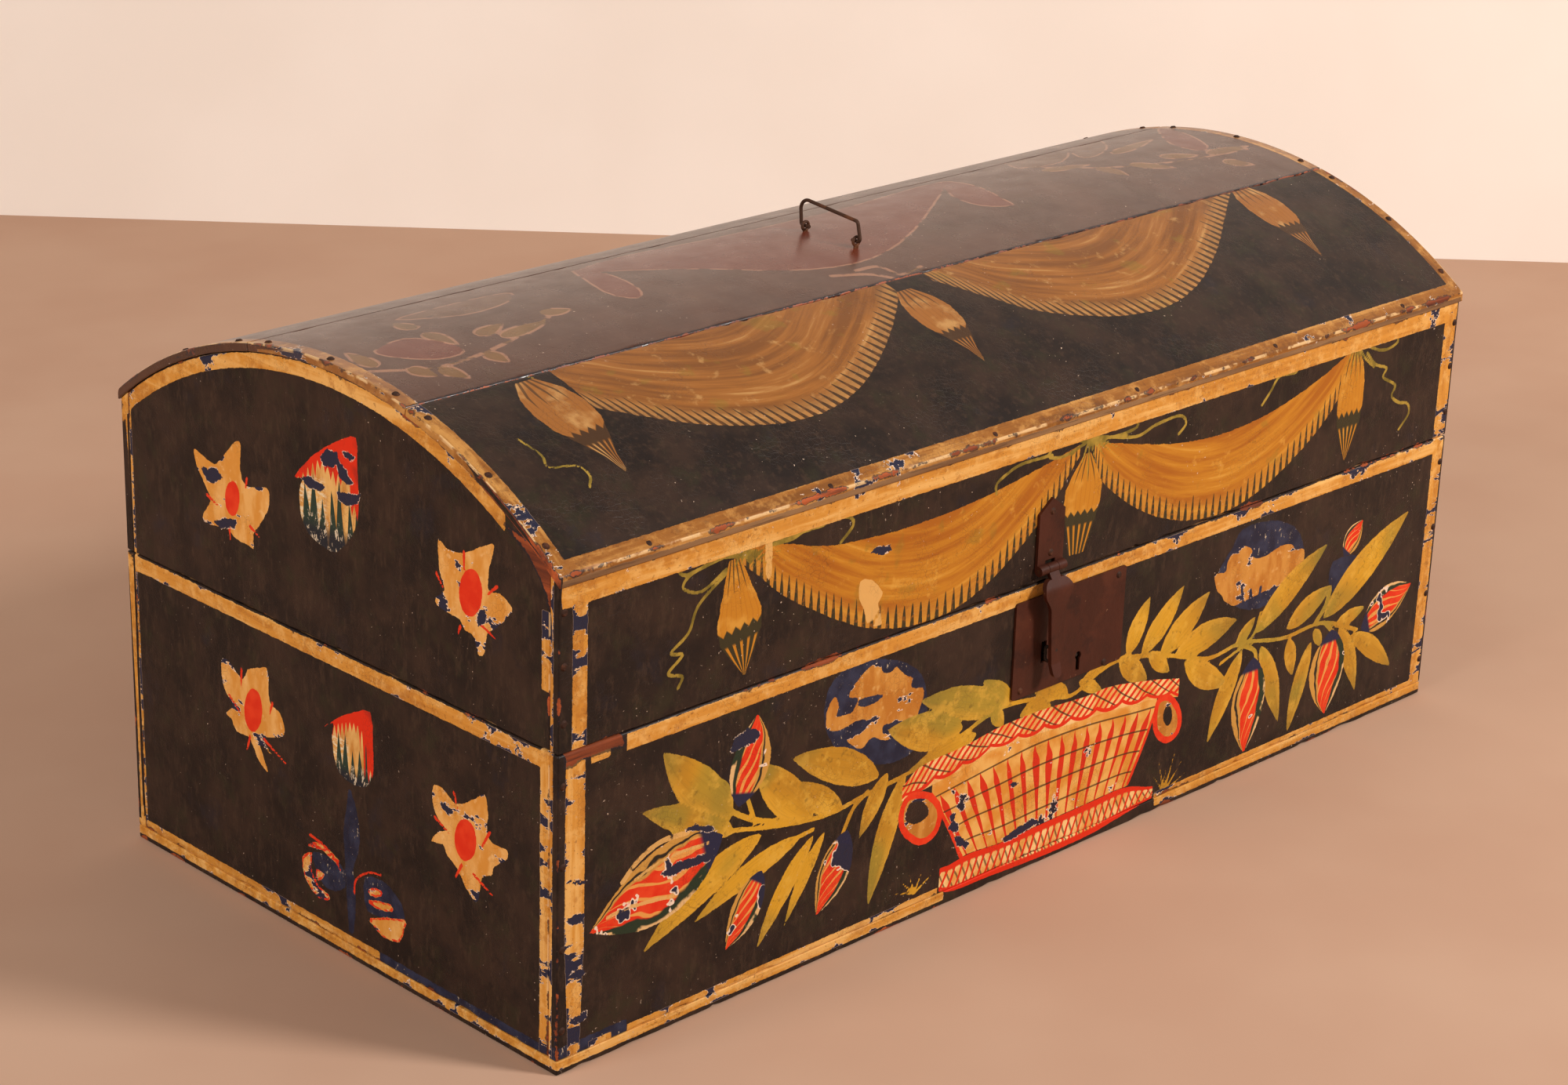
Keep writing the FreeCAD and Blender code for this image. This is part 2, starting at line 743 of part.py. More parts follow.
def hasp_arm(staple):
    """The hasp's arm: a knuckle on the pin, a slant outwards, a straight blade and a curled tip."""
    points = [
        Vector(hasp_x, hasp_pivot_y, hasp_pivot_z),
        Vector(hasp_x, arm_middle_y, hasp_pivot_z - arm_slant_drop),
        Vector(hasp_x, arm_middle_y, arm_tip_z + arm_curl_length),
        Vector(hasp_x, arm_middle_y - arm_curl_out, arm_tip_z),
    ]
    strip = bent_strip(points, arm_bend_radius, arm_thickness, Vector(arm_shoulder_width + 2 * overrun, 0, 0))
    outline_depth = Vector(0, arm_standoff + arm_thickness + knuckle_radius + arm_curl_out + 4 * overrun, 0)
    outline_start = arm_middle_y - arm_thickness - arm_curl_out - overrun
    blade = strip.common(closed_prism(arm_outline_edges(outline_start), outline_depth))
    knuckle_start = Vector(hasp_x - arm_neck_width / 2, hasp_pivot_y, hasp_pivot_z)
    along = Vector(1, 0, 0)
    knuckle = Part.makeCylinder(knuckle_radius, arm_neck_width, knuckle_start, along)
    bore = Part.makeCylinder(
        pin_radius + pin_running_clearance, arm_neck_width + 2 * overrun, knuckle_start - along * overrun, along
    )
    return blade.fuse(knuckle).cut([bore, staple])


def hasp_staple():
    """The wire staple riveted through the arm; its eye is open along X for the bolt."""
    arm_front = arm_middle_y - arm_thickness / 2
    arm_back = arm_middle_y + arm_thickness / 2
    depth = arm_back + staple_depth - staple_wire_radius
    upper = staple_z + staple_height / 2
    lower = staple_z - staple_height / 2
    points = [
        Vector(hasp_x, arm_front, upper),
        Vector(hasp_x, depth, upper),
        Vector(hasp_x, depth, lower),
        Vector(hasp_x, arm_front, lower),
    ]
    return bent_wire(points, [staple_bend_radius] * 2, staple_wire_radius)


def make_box_nodes():
    """The box with its lock and the lower halves of its hinges."""
    corner = corner_nails(bottom_thickness, box_height, box_corner_nail_shares)
    bottom = bottom_nails()
    plate_nails = lock_plate_nails()
    cover_nails = lock_cover_nails()
    eyes = [box_hinge_eye(side) for side in (-1, 1)]
    return {
        "box_front_board": box_long_board(-1).cut([lock_mortise()] + corner + bottom + plate_nails + cover_nails),
        "box_back_board": box_long_board(1).cut(corner + bottom + eyes),
        "box_left_end": box_end_board(-1).cut(corner + bottom),
        "box_right_end": box_end_board(1).cut(corner + bottom),
        "box_bottom_board": box_bottom_board().cut(bottom),
        "box_corner_nails": Part.makeCompound(corner),
        "box_bottom_nails": Part.makeCompound(bottom),
        "box_hinge_eye_left": eyes[0],
        "box_hinge_eye_right": eyes[1],
        "lock_plate": lock_plate(plate_nails),
        "lock_plate_nails": Part.makeCompound(plate_nails),
        "lock_cover": lock_cover(cover_nails),
        "lock_cover_nails": Part.makeCompound(cover_nails),
        "lock_bolt_guide_left": bolt_guide(guide_left_x),
        "lock_bolt_guide_right": bolt_guide(guide_right_x),
        "lock_key_pin": lock_key_pin(),
        "lock_spring": lock_spring(),
        "lock_bolt": lock_bolt(),
    }


def make_lid_nodes():
    """The domed lid with the upper halves of its hinges, its bail and its hasp."""
    corner = corner_nails(lid_bottom, rail_top, lid_corner_nail_shares)
    end_nails = roof_end_nails()
    rail_nails = roof_rail_nails()
    links = [lid_hinge_link(side) for side in (-1, 1)]
    eyes = [handle_eye(side) for side in (-1, 1)]
    strap_nails = hasp_strap_nails()
    pin = hasp_hinge_pin()
    staple = hasp_staple()
    front, middle, back = [roof_board(start, end) for start, end in roof_spans()]
    return {
        "lid_front_rail": lid_rail(-1).cut(corner + rail_nails + strap_nails),
        "lid_back_rail": lid_rail(1).cut(corner + rail_nails + links),
        "lid_left_end": lid_end_board(-1).cut(corner + end_nails),
        "lid_right_end": lid_end_board(1).cut(corner + end_nails),
        "lid_roof_front_board": front.cut(end_nails + rail_nails),
        "lid_roof_middle_board": middle.cut(end_nails + eyes),
        "lid_roof_back_board": back.cut(end_nails + rail_nails),
        "lid_corner_nails": Part.makeCompound(corner),
        "roof_end_nails": Part.makeCompound(end_nails),
        "roof_rail_nails": Part.makeCompound(rail_nails),
        "lid_hinge_link_left": links[0],
        "lid_hinge_link_right": links[1],
        "handle_eye_front": eyes[0],
        "handle_eye_back": eyes[1],
        "bail_handle": bail_handle(),
        "hasp_strap": hasp_strap(strap_nails, pin),
        "hasp_strap_nails": Part.makeCompound(strap_nails),
        "hasp_hinge_pin": pin,
        "hasp_arm": hasp_arm(staple),
        "hasp_staple": staple,
    }


def main():
    os.makedirs("parts", exist_ok=True)
    nodes = make_box_nodes()
    nodes.update(make_lid_nodes())
    for name, shape in nodes.items():
        if not shape.isValid() or shape.Volume <= 0:
            print("unsound shape:", name)
        shape.exportStep(os.path.join("parts", name + ".step"))
        print(name, "solids", len(shape.Solids), "volume", round(shape.Volume, 1))
    print("lid hinge axis y, z:", round(hinge_axis_y, 4), round(hinge_axis_z, 4))
    print("hasp axis y, z:", round(hasp_pivot_y, 4), round(hasp_pivot_z, 4))
    print("hasp home angle, degrees:", round(math.degrees(hasp_home_angle), 3))
    print("bail axis x, z:", round(handle_x, 4), round(bail_axis_z, 4))
    print("roof crown z:", round(roof_axis_z + roof_outer_radius, 4))


main()
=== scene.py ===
"""Looks of a painted wedding chest: worn nailed boards under folk ornament, hand-forged lock and wire bail.

Each board is a closed surface worked out with numpy. Its paint is drawn from signed distances kept at its
points: positive inside a painted form, negative outside, in metres.
"""

import math

import bpy
import numpy as np
from mathutils import Matrix, Vector


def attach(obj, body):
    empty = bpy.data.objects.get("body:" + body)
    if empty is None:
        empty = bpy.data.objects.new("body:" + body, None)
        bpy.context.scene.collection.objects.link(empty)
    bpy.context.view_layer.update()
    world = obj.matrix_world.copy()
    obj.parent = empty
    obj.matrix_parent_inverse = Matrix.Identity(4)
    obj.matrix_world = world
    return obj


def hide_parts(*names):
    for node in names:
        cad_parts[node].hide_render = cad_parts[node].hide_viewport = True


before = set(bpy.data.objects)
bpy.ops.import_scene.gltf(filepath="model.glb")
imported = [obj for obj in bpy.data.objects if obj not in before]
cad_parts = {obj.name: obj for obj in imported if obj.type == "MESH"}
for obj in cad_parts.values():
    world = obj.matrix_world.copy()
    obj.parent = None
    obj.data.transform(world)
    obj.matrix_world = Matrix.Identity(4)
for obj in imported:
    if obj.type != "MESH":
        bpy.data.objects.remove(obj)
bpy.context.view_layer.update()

# The chest's own measures, in metres.
mm = 0.001
half_length = 280 * mm
front_face = -138 * mm
back_face = 138 * mm
board_thick = 5 * mm
bottom_thick = 6 * mm
box_top = 134 * mm
lid_foot = 134.4 * mm
rail_top = 201.4 * mm
roof_axis = 27.025 * mm
roof_outer = 225.975 * mm
roof_inner = 222.375 * mm
roof_half_length = 280.8 * mm
eave_line = 139 * mm
eave_angle = math.asin(eave_line / roof_outer)
inner_eave_angle = math.asin(eave_line / roof_inner)
front_joint_angle = -52 * mm / roof_outer
back_joint_angle = 48 * mm / roof_outer
joint_gap_angle = 0.3 * mm / roof_outer
mortise_left, mortise_right = -18 * mm, 35.4 * mm
mortise_low, mortise_high = 86.1 * mm, 110.7 * mm

# Far outside every painted form, and how far from one its distance is still worked out.
nothing = -0.05
around_form = 6 * mm

# The photograph's view.
photo_width, photo_height = 2000, 1384
eye = Vector((-1.025158, -0.990113, 0.65541))
view_azimuth, view_elevation, view_roll = -45.241, 21.029, 1.812
view_focal = 4308.27


def view_axes():
    """The camera's right, up and forward directions. The view back from the object is turned by the azimuth and
    lifted by the elevation, and right and up are then turned by the roll about it."""
    a, e, r = (math.radians(v) for v in (view_azimuth, view_elevation, view_roll))
    forward = Vector((-math.sin(a) * math.cos(e), math.cos(a) * math.cos(e), -math.sin(e)))
    level = forward.cross(Vector((0, 0, 1))).normalized()
    upright = level.cross(forward)
    right = level * math.cos(r) + upright * math.sin(r)
    up = upright * math.cos(r) - level * math.sin(r)
    return right, up, forward


def place_camera():
    """The camera with the photograph's lens, place and roll."""
    lens = bpy.data.cameras.new("photo_view")
    lens.sensor_width = 36
    lens.lens = 36 * view_focal / photo_width
    lens.clip_start, lens.clip_end = 0.05, 30
    camera = bpy.data.objects.new("photo_view", lens)
    bpy.context.scene.collection.objects.link(camera)
    right, up, forward = view_axes()
    camera.matrix_world = Matrix.Translation(eye) @ Matrix((right, up, -forward)).transposed().to_4x4()
    bpy.context.scene.camera = camera
    return camera


def steady(seed):
    """Numbers that look random and are the same each time."""
    return np.random.default_rng(seed)


def wandering(along, seed, pitch, size):
    """A smooth wander along a board: random heights at even pitches, joined by cosine curves."""
    knots = np.arange(along.min() - pitch, along.max() + 2 * pitch, pitch)
    heights = steady(seed).normal(0, size, len(knots))
    place = (along - knots[0]) / pitch
    index = np.clip(place.astype(int), 0, len(knots) - 2)
    share = 0.5 - 0.5 * np.cos(np.pi * (place - index))
    return heights[index] * (1 - share) + heights[index + 1] * share


def worn_arris(along, seed, calm=0.8 * mm, rough=0.22 * mm, bites=0, bite_depth=1.6 * mm):
    """The radius of a worn edge along a board: a calm one, small wanders and a few bites, each a bell curve."""
    radius = calm + np.abs(wandering(along, seed, 7 * mm, rough)) + np.abs(
        wandering(along, seed + 50, 31 * mm, rough))
    chance = steady(seed + 100)
    for _ in range(bites):
        middle = chance.uniform(along.min(), along.max())
        reach = chance.uniform(1.5 * mm, 6 * mm)
        radius = radius + chance.uniform(0.4, 1.0) * bite_depth * np.exp(-(((along - middle) / reach) ** 2))
    return radius


def board_stations(half, spacing, end_round):
    """Places along a board: even ones, and closer ones over its rounded ends."""
    ends = half - end_round * (1 - np.sin(np.linspace(0, np.pi / 2, 6)))
    between = np.linspace(-ends[0], ends[0], max(4, int(round(2 * half / spacing))) + 1)
    return np.concatenate([-ends[:0:-1], between, ends[1:]])


def board_section(low, high, near, far, low_round, high_round, back_round, rows, back_rows, edge_rows):
    """Points round a board's section at each station, as two arrays (station, point) of height and depth: up the
    outer face, round its upper arris, over the top edge, down the inner face and under the bottom edge. Each arris
    is a quarter circle of its own radius."""
    low, high, near, far, low_round, high_round, back_round = (
        np.asarray(v)[:, None] for v in (low, high, near, far, low_round, high_round, back_round)
    )
    quarter = np.linspace(0, np.pi / 2, 5)[1:]
    up = np.linspace(0, 1, rows + 1)
    back = np.linspace(0, 1, back_rows + 1)
    over = np.linspace(0, 1, edge_rows + 1)[1:]
    bottom, top = low + low_round, high - high_round
    height = [bottom + up * (top - bottom), top + high_round * np.sin(quarter), high + 0 * over,
        high - back_round * (1 - np.cos(quarter)), high - back_round + back[1:] * (low - high + 2 * back_round),
        low + back_round * (1 - np.sin(quarter)), low + 0 * over,
        bottom - low_round * np.sin(np.pi / 2 - quarter[:-1])]
    depth = [near + 0 * up, near + high_round * (1 - np.cos(quarter)),
        near + high_round + over * (far - back_round - near - high_round),
        far - back_round * (1 - np.sin(quarter)), far + 0 * back[1:], far - back_round * (1 - np.cos(quarter)),
        far - back_round + over * (near + low_round - far + back_round),
        near + low_round * (1 - np.cos(np.pi / 2 - quarter[:-1]))]
    return tuple(np.concatenate([np.broadcast_to(p, (len(low), p.shape[1])) for p in parts], 1)
        for parts in (height, depth))


def closed_skin(name, points):
    """A mesh from points on a grid (station, point round the section): a quad between each four neighbours, the
    section closed on itself and both ends closed by one face. Its faces are turned round if the volume that they
    enclose comes out negative."""
    stations, around = points.shape[:2]
    here = np.arange(stations * around).reshape(stations, around)
    beside = np.roll(here, -1, axis=1)
    quads = np.stack([here[:-1], here[1:], beside[1:], beside[:-1]], -1).reshape(-1, 4)
    flat = points.reshape(-1, 3)
    centred = flat - flat.mean(0)
    a, b, c, d = (centred[quads[:, k]] for k in range(4))
    volume = (np.cross(a, b) * c).sum() + (np.cross(a, c) * d).sum()
    faces = quads.tolist() + [here[0].tolist(), here[-1][::-1].tolist()]
    if volume < 0:
        faces = [face[::-1] for face in faces]
    mesh = bpy.data.meshes.new(name)
    mesh.from_pydata(flat.tolist(), [], faces)
    smooth = np.ones(len(faces), bool)
    smooth[-2:] = False
    mesh.polygons.foreach_set("use_smooth", smooth)
    mesh.update()
    return mesh


def keep_marks(mesh, marks):
    """Writes each painted mark to the mesh's points: one number or three at each."""
    for name, values in marks.items():
        values = np.asarray(values, np.float32)
        kind, field = ("FLOAT", "value") if values.ndim == 1 else ("FLOAT_VECTOR", "vector")
        mesh.attributes.new(name, kind, "POINT").data.foreach_set(field, values.ravel())


def flat_board(plane, low, sign):
    """Where a long board's points lie: along X, its height above low, and its depth inwards from the plane."""
    return lambda along, height, depth: np.stack([along, plane - sign * depth, low + height], -1)


def worn_board(name, node, body, place, half, height, finish, paint, seed, thick=board_thick, spacing=1.15 * mm,
        rows=60, back_rows=12, edge_rows=3, calm=0.7 * mm, bites=8, end_round=0.7 * mm, reshape=None):
    """One board: its worn section swept along it. place carries (along, height, depth) to the chest, reshape may
    change these three first, and paint gives the marks from them."""
    along = board_stations(half, spacing, end_round)
    from_end = half - np.abs(along)
    inset = end_round - np.sqrt(np.clip(end_round**2 - np.clip(end_round - from_end, 0, None) ** 2, 0, None))
    limit = thick / 2 - inset - 0.05 * mm
    low_round = np.clip(worn_arris(along, seed, calm, bites=bites) - inset, 0.05 * mm, limit)
    high_round = np.clip(worn_arris(along, seed + 7, calm, bites=bites) - inset, 0.05 * mm, limit)
    back_round = np.clip(0.5 * mm + 0 * along - inset, 0.05 * mm, limit)
    h, d = board_section(inset, height - inset, inset, thick - inset, low_round, high_round, back_round, rows,
        back_rows, edge_rows)
    a = np.broadcast_to(along[:, None], h.shape)
    if reshape:
        a, h, d = reshape(a, h, d)
    board = bpy.data.objects.new(name, closed_skin(name, place(a, h, d)))
    bpy.context.scene.collection.objects.link(board)
    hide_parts(node)
    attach(board, body)
    end_grain = np.broadcast_to((from_end < 1.01 * end_round)[:, None], h.shape)
    face = np.where(end_grain, 0, d)
    rim = np.maximum(np.minimum(np.minimum(h, height - h), half - np.abs(a)), d)
    marks = {"rim": rim.ravel(), "skin": face.ravel(), "bare": np.full(h.size, nothing),
        "chip": np.full(h.size, nothing), "upright": np.zeros(h.size), "wear": np.zeros(h.size)}
    marks.update({k: v.reshape(-1, 3) if v.ndim == 3 else v.ravel() for k, v in paint(a, h, d).items()})
    keep_marks(board.data, marks)
    board.data.materials.append(finish)


# Painting: forms on a panel.


def photo_to_panel(seen, real):
    """A function that carries photo points to a flat panel's own two measures, by the one projective map that takes
    the panel's four corners as seen to the real ones."""
    rows, sides = [], []
    for (x, y), (u, v) in zip(seen, real):
        rows += [[x, y, 1, 0, 0, 0, -u * x, -u * y], [0, 0, 0, x, y, 1, -v * x, -v * y]]
        sides += [u, v]
    h = np.append(np.linalg.solve(np.array(rows, float), np.array(sides, float)), 1).reshape(3, 3)

    def carry(points):
        p = np.atleast_2d(np.asarray(points, float))
        q = np.column_stack([p, np.ones(len(p))]) @ h.T
        return q[:, :2] / q[:, 2:]

    return carry


def flowing(points, steps=8, closed=False):
    """A smooth line through points: cubic pieces whose slope at each point is half the way between its neighbours."""
    p = np.asarray(points, float)
    q = np.concatenate([p[-1:], p, p[:2]]) if closed else np.concatenate(
        [2 * p[:1] - p[1:2], p, 2 * p[-1:] - p[-2:-1]])
    t = np.linspace(0, 1, steps, endpoint=False)[:, None, None]
    a, b, c, d = q[:-3], q[1:-2], q[2:-1], q[3:]
    line = 0.5 * (2 * b + (c - a) * t + (2 * a - 5 * b + 4 * c - d) * t**2 + (3 * b - a - 3 * c + d) * t**3)
    line = line.transpose(1, 0, 2).reshape(-1, p.shape[1])
    return line if closed else np.concatenate([line, p[-1:]])


def nearby(grid, points, reach):
    """Which grid points lie in the points' own box, widened by reach."""
    low, high = np.min(points, 0) - reach, np.max(points, 0) + reach
    return np.all((grid >= low) & (grid <= high), -1)


def stroke(grid, points, widths, steps=6):
    """How far inside a brush stroke each grid point is: its half width there less the distance to its line."""
    points = np.asarray(points, float)
    widths = np.broadcast_to(np.asarray(widths, float), (len(points),))
    path = flowing(np.column_stack([points, widths]), steps)
    found = np.full(grid.shape[:-1], nothing)
    near = nearby(grid, path[:, :2], around_form)
    p = grid[near]
    best = np.full(len(p), nothing)
    for a, b in zip(path[:-1], path[1:]):
        step = b[:2] - a[:2]
        t = np.clip(((p - a[:2]) @ step) / (step @ step + 1e-18), 0, 1)
        best = np.maximum(best, a[2] + t * (b[2] - a[2]) - np.hypot(*(p - a[:2] - t[:, None] * step).T))
    found[near] = best
    return found


def shape_within(grid, outline, smooth=3):
    """How far inside a closed outline each grid point is: the distance to its nearest side, negative outside, where a
    line to the right crosses the outline an even number of times."""
    ring = flowing(outline, smooth, closed=True) if smooth > 1 else np.asarray(outline, float)
    found = np.full(grid.shape[:-1], nothing)
    near = nearby(grid, ring, around_form)
    p = grid[near]
    far = np.full(len(p), 1.0)
    inside = np.zeros(len(p), bool)
    for a, b in zip(ring, np.roll(ring, -1, 0)):
        step = b - a
        t = np.clip(((p - a) @ step) / (step @ step + 1e-18), 0, 1)
        far = np.minimum(far, np.hypot(*(p - a - t[:, None] * step).T))
        crosses = (a[1] > p[:, 1]) != (b[1] > p[:, 1])
        inside ^= crosses & (p[:, 0] < a[0] + (p[:, 1] - a[1]) * step[0] / (step[1] + 1e-18 * (step[1] == 0)))
    found[near] = np.where(inside, far, -far)
    return found


def blade(grid, at, base, tip, width, bow=0.0, fullness=0.5):
    """A leaf or bud from base to tip, as (inside, along, side): its half width is the width times the along to the
    fullness times the rest, scaled to a peak of one, about a middle line bowed like a parabola."""
    base, tip = at([base, tip])
    step = tip - base
    length = np.hypot(*step)
    found = np.full((*grid.shape[:-1], 3), (nothing, 0.0, 0.0))
    near = nearby(grid, [base, tip], width + abs(bow) + 4 * mm)
    p = grid[near] - base
    t = (p @ step) / length**2
    across = (p @ np.array([-step[1], step[0]])) / length
    held = np.clip(t, 0, 1)
    peak = fullness / (fullness + 1)
    half = width * held**fullness * (1 - held) / (peak**fullness * (1 - peak))
    side = across - bow * 4 * held * (1 - held)
    beyond = np.maximum(-t, t - 1).clip(0) * length
    inside = np.where(beyond > 0, -np.hypot(beyond, side), 0.8 * (half - np.abs(side)))
    found[near] = np.stack([inside, t, side / np.maximum(half, 0.12 * width)], -1)
    return found


def topmost(*layers):
    """Of several (inside, along, side) layers, at each point the one that is furthest inside."""
    best = layers[0].copy()
    for layer in layers[1:]:
        over = layer[..., 0] > best[..., 0]
        best[over] = layer[over]
    return best


def swag(grid, at, upper, hem, slant=0.0):
    """A draped swag, as (inside, height over the hem, length along the hem): between an upper line and a hem line,
    both read as heights over the first measure. The slant moves the length on by a share of the height."""
    upper, hem = flowing(at(upper)), flowing(at(hem))
    x, z = grid[..., 0], grid[..., 1]
    top, bottom = np.interp(x, upper[:, 0], upper[:, 1]), np.interp(x, hem[:, 0], hem[:, 1])
    run = np.append(0, np.cumsum(np.hypot(*np.diff(hem, axis=0).T)))
    lean = np.interp(x, hem[:-1, 0], 1 / np.sqrt(1 + np.clip(np.diff(hem[:, 1]) / np.diff(hem[:, 0]).clip(1e-5), -4,
        4) ** 2))
    ends = np.minimum(x - max(upper[0, 0], hem[0, 0]), min(upper[-1, 0], hem[-1, 0]) - x)
    inside = np.minimum(np.minimum(top - z, (z - bottom) * lean), ends)
    lift = (z - bottom) * (lean if slant else 1)
    return np.stack([np.clip(inside, nothing, None), lift, np.interp(x, hem[:, 0], run) + slant * lift], -1)


def widest(*fields):
    """How far inside any of several forms each point is."""
    return np.maximum.reduce([np.broadcast_to(f, fields[0].shape) for f in fields])


def filled(grid, at, outlines, smooth=3):
    """How far inside any of several outlines of photo points each grid point is."""
    return widest(*[shape_within(grid, at(points), smooth) for points in outlines])


def brushed(grid, at, lines, widths, steps=6):
    """How far inside any of several brush strokes along photo points each grid point is."""
    return widest(*[stroke(grid, at(points), widths, steps) for points in lines])


def tassel(grid, at, top, tip, widths):
    """A hanging tassel, as (inside, down, side): half widths in millimetres at even steps from its top to its tip,
    joined by straight lines."""
    top, tip = at([top, tip])
    step = tip - top
    length = np.hypot(*step)
    p = grid - top
    t = (p @ step) / length**2
    side = (p @ np.array([-step[1], step[0]])) / length
    half = np.interp(t, np.linspace(0, 1, len(widths)), np.array(widths) * mm)
    inside = np.minimum(half - np.abs(side), np.minimum(t, 1 - t) * length)
    return np.stack([np.clip(inside, nothing, None), t, side / np.maximum(half, 0.4 * mm)], -1)


# Finishes.


def tint(red, green, blue):
    """A colour given as it is seen on screen, 0 to 255, as the shader wants it."""
    shares = (v / 255 for v in (red, green, blue))
    return (*(v / 12.92 if v <= 0.04045 else ((v + 0.055) / 1.055) ** 2.4 for v in shares), 1.0)


class Value:
    """A node's output, which is calculated with like a number."""

    def __init__(self, finish, socket):
        self.finish, self.socket = finish, socket

    def math(self, operation, other=0.0):
        return self.finish.value("ShaderNodeMath", {0: self, 1: other}, operation=operation)

    def __add__(self, other):
        return self.math("ADD", other)

    def __mul__(self, other):
        return self.math("MULTIPLY", other)

    def __sub__(self, other):
        return self.math("SUBTRACT", other)

    def __rsub__(self, other):
        return self * -1.0 + other

    def __truediv__(self, other):
        return self.math("DIVIDE", other)

    def __pow__(self, other):
        return self.math("POWER", other)

    def __abs__(self):
        return self.math("ABSOLUTE")

    __radd__, __rmul__ = __add__, __mul__


def larger(a, b):
    return a.math("MAXIMUM", b)


def smaller(a, b):
    return a.math("MINIMUM", b)


class Finish:
    """A material's nodes, laid one after another."""

    def __init__(self, name):
        self.material = bpy.data.materials.new(name)
        self.material.use_nodes = True
        self.tree = self.material.node_tree
        self.shader = self.tree.nodes["Principled BSDF"]
        self.here = self.value("ShaderNodeTexCoord", output="Object")

    def feed(self, socket, value):
        if isinstance(value, Value):
            self.tree.links.new(value.socket, socket)
        else:
            socket.default_value = value

    def value(self, kind, inputs=(), output=0, **settings):
        """One output of a new node with these inputs and settings."""
        made = self.tree.nodes.new(kind)
        for key, setting in settings.items():
            setattr(made, key, setting)
        for key, value in dict(inputs).items():
            self.feed(made.inputs[key], value)
        return Value(self, made.outputs[output])

    def blend(self, share, under, over):
        return self.value("ShaderNodeMix", {0: share, 6: under, 7: over}, 2, data_type="RGBA")

    def either(self, share, first, second):
        """The first number where the share is 0 and the second where it is 1."""
        return self.value("ShaderNodeMix", {0: share, 2: first, 3: second})

    def point(self, x, y):
        return self.value("ShaderNodeCombineXYZ", {0: x, 1: y})

    def rise(self, value, start, end):
        """0 below start and 1 over end, smooth between; it falls if end is below start."""
        low, high, at_low, at_high = (start, end, 0.0, 1.0) if start < end else (end, start, 1.0, 0.0)
        inputs = dict(enumerate((value, low, high, at_low, at_high)))
        return self.value("ShaderNodeMapRange", inputs, interpolation_type="SMOOTHSTEP")

    def grain(self, scale, detail=3.0, rough=0.5, stretch=(1, 1, 1), shift=0.0, on=None):
        """Noise of one scale per metre, stretched along the axes."""
        moved = (shift, shift * 0.7, shift * 1.3)
        at = self.value("ShaderNodeMapping", {0: on or self.here, 1: moved, 3: stretch})
        return self.value("ShaderNodeTexNoise", {"Vector": at, "Scale": scale, "Detail": detail, "Roughness": rough})

    def mottled(self, colour, tone, share, span, *noise, **settings):
        """A colour under patches of a tone, where a noise rises over the span."""
        return self.blend(self.rise(self.grain(*noise, **settings), *span) * share, colour, tone)

    def mark(self, name, output="Fac"):
        """A mark of one number, kept at the mesh's points."""
        return self.value("ShaderNodeAttribute", (), output, attribute_name=name, attribute_type="GEOMETRY")

    def marks(self, name):
        """The three numbers of a mark."""
        vector = self.mark(name, "Vector")
        return [self.value("ShaderNodeSeparateXYZ", {0: vector}, part) for part in range(3)]

    def comb(self, value, pitch, offset=0.0):
        """A toothed wave: 0 at the middle of each tooth and 1 half way between two."""
        return abs((value / pitch + offset).math("FRACT") - 0.5) * 2.0

    def relief(self, *heights, strength=0.6, distance=0.4 * mm):
        """Bumps from the sum of (height, size) pairs."""
        total = sum(height * size for height, size in heights)
        bump = self.value("ShaderNodeBump", {"Strength": strength, "Distance": distance, "Height": total})
        self.feed(self.shader.inputs["Normal"], bump)

    def settle(self, colour, roughness, **fixed):
        """Gives the shader its colour and roughness, and its constants."""
        self.feed(self.shader.inputs["Base Color"], colour)
        self.feed(self.shader.inputs["Roughness"], roughness)
        for key, value in fixed.items():
            self.shader.inputs[key.replace("_", " ")].default_value = value
        return self.material


along_x, along_y, along_z, round_roof = (0.06, 1, 1), (1, 0.06, 1), (1, 1, 0.06), (1, 0.12, 0.12)


def wood_colours(finish, run, light, dark, pores):
    """Board wood, as (colour, streaks): long streaks between a light and a dark tone, and fine pores along the
    grain."""
    streaks = finish.grain(120, 5, 0.6, run)
    broad = finish.grain(26, 3, 0.5, run, shift=3)
    fine = finish.grain(900, 2, 0.5, run, shift=5)
    colour = finish.blend(finish.rise(streaks, 0.3, 0.7), dark, light)
    colour = finish.blend(finish.rise(broad, 0.45, 0.7) * 0.55, colour, dark)
    return finish.blend(finish.rise(fine, 0.58, 0.7) * 0.5, colour, pores), streaks


# Colours in threes are the main one, a light and a dark one.
ochre = (tint(208, 142, 56), tint(232, 180, 104), tint(170, 104, 36))
dull_ochre = (tint(146, 91, 35), tint(200, 145, 76), tint(98, 57, 25))
rail_cloth = (tint(192, 125, 32), tint(216, 157, 64), tint(166, 95, 22))
roof_cloth = (tint(156, 98, 42), tint(200, 154, 94), tint(122, 74, 32))
rail_fringe, roof_fringe = tint(30, 40, 28), tint(62, 42, 26)
front_petals = (tint(182, 113, 39), tint(202, 139, 61), tint(222, 170, 100))
end_petals = (tint(214, 144, 58), tint(230, 172, 96), tint(240, 196, 132))
blue_black = tint(36, 37, 58)
gesso = tint(236, 208, 184)
bare_wood = tint(184, 90, 44)
dark_wood = tint(88, 42, 26)
vermilion = tint(218, 44, 14)
bottle_green = tint(36, 50, 34)


# Over what distance a painted edge goes from nothing to full cover.
edge_softness = 0.25 * mm


def cover(f, field, edge, share=1.0):
    """Where a form's field, with its brushed edge, is painted."""
    return f.rise(edge * share + field, 0.0, edge_softness)


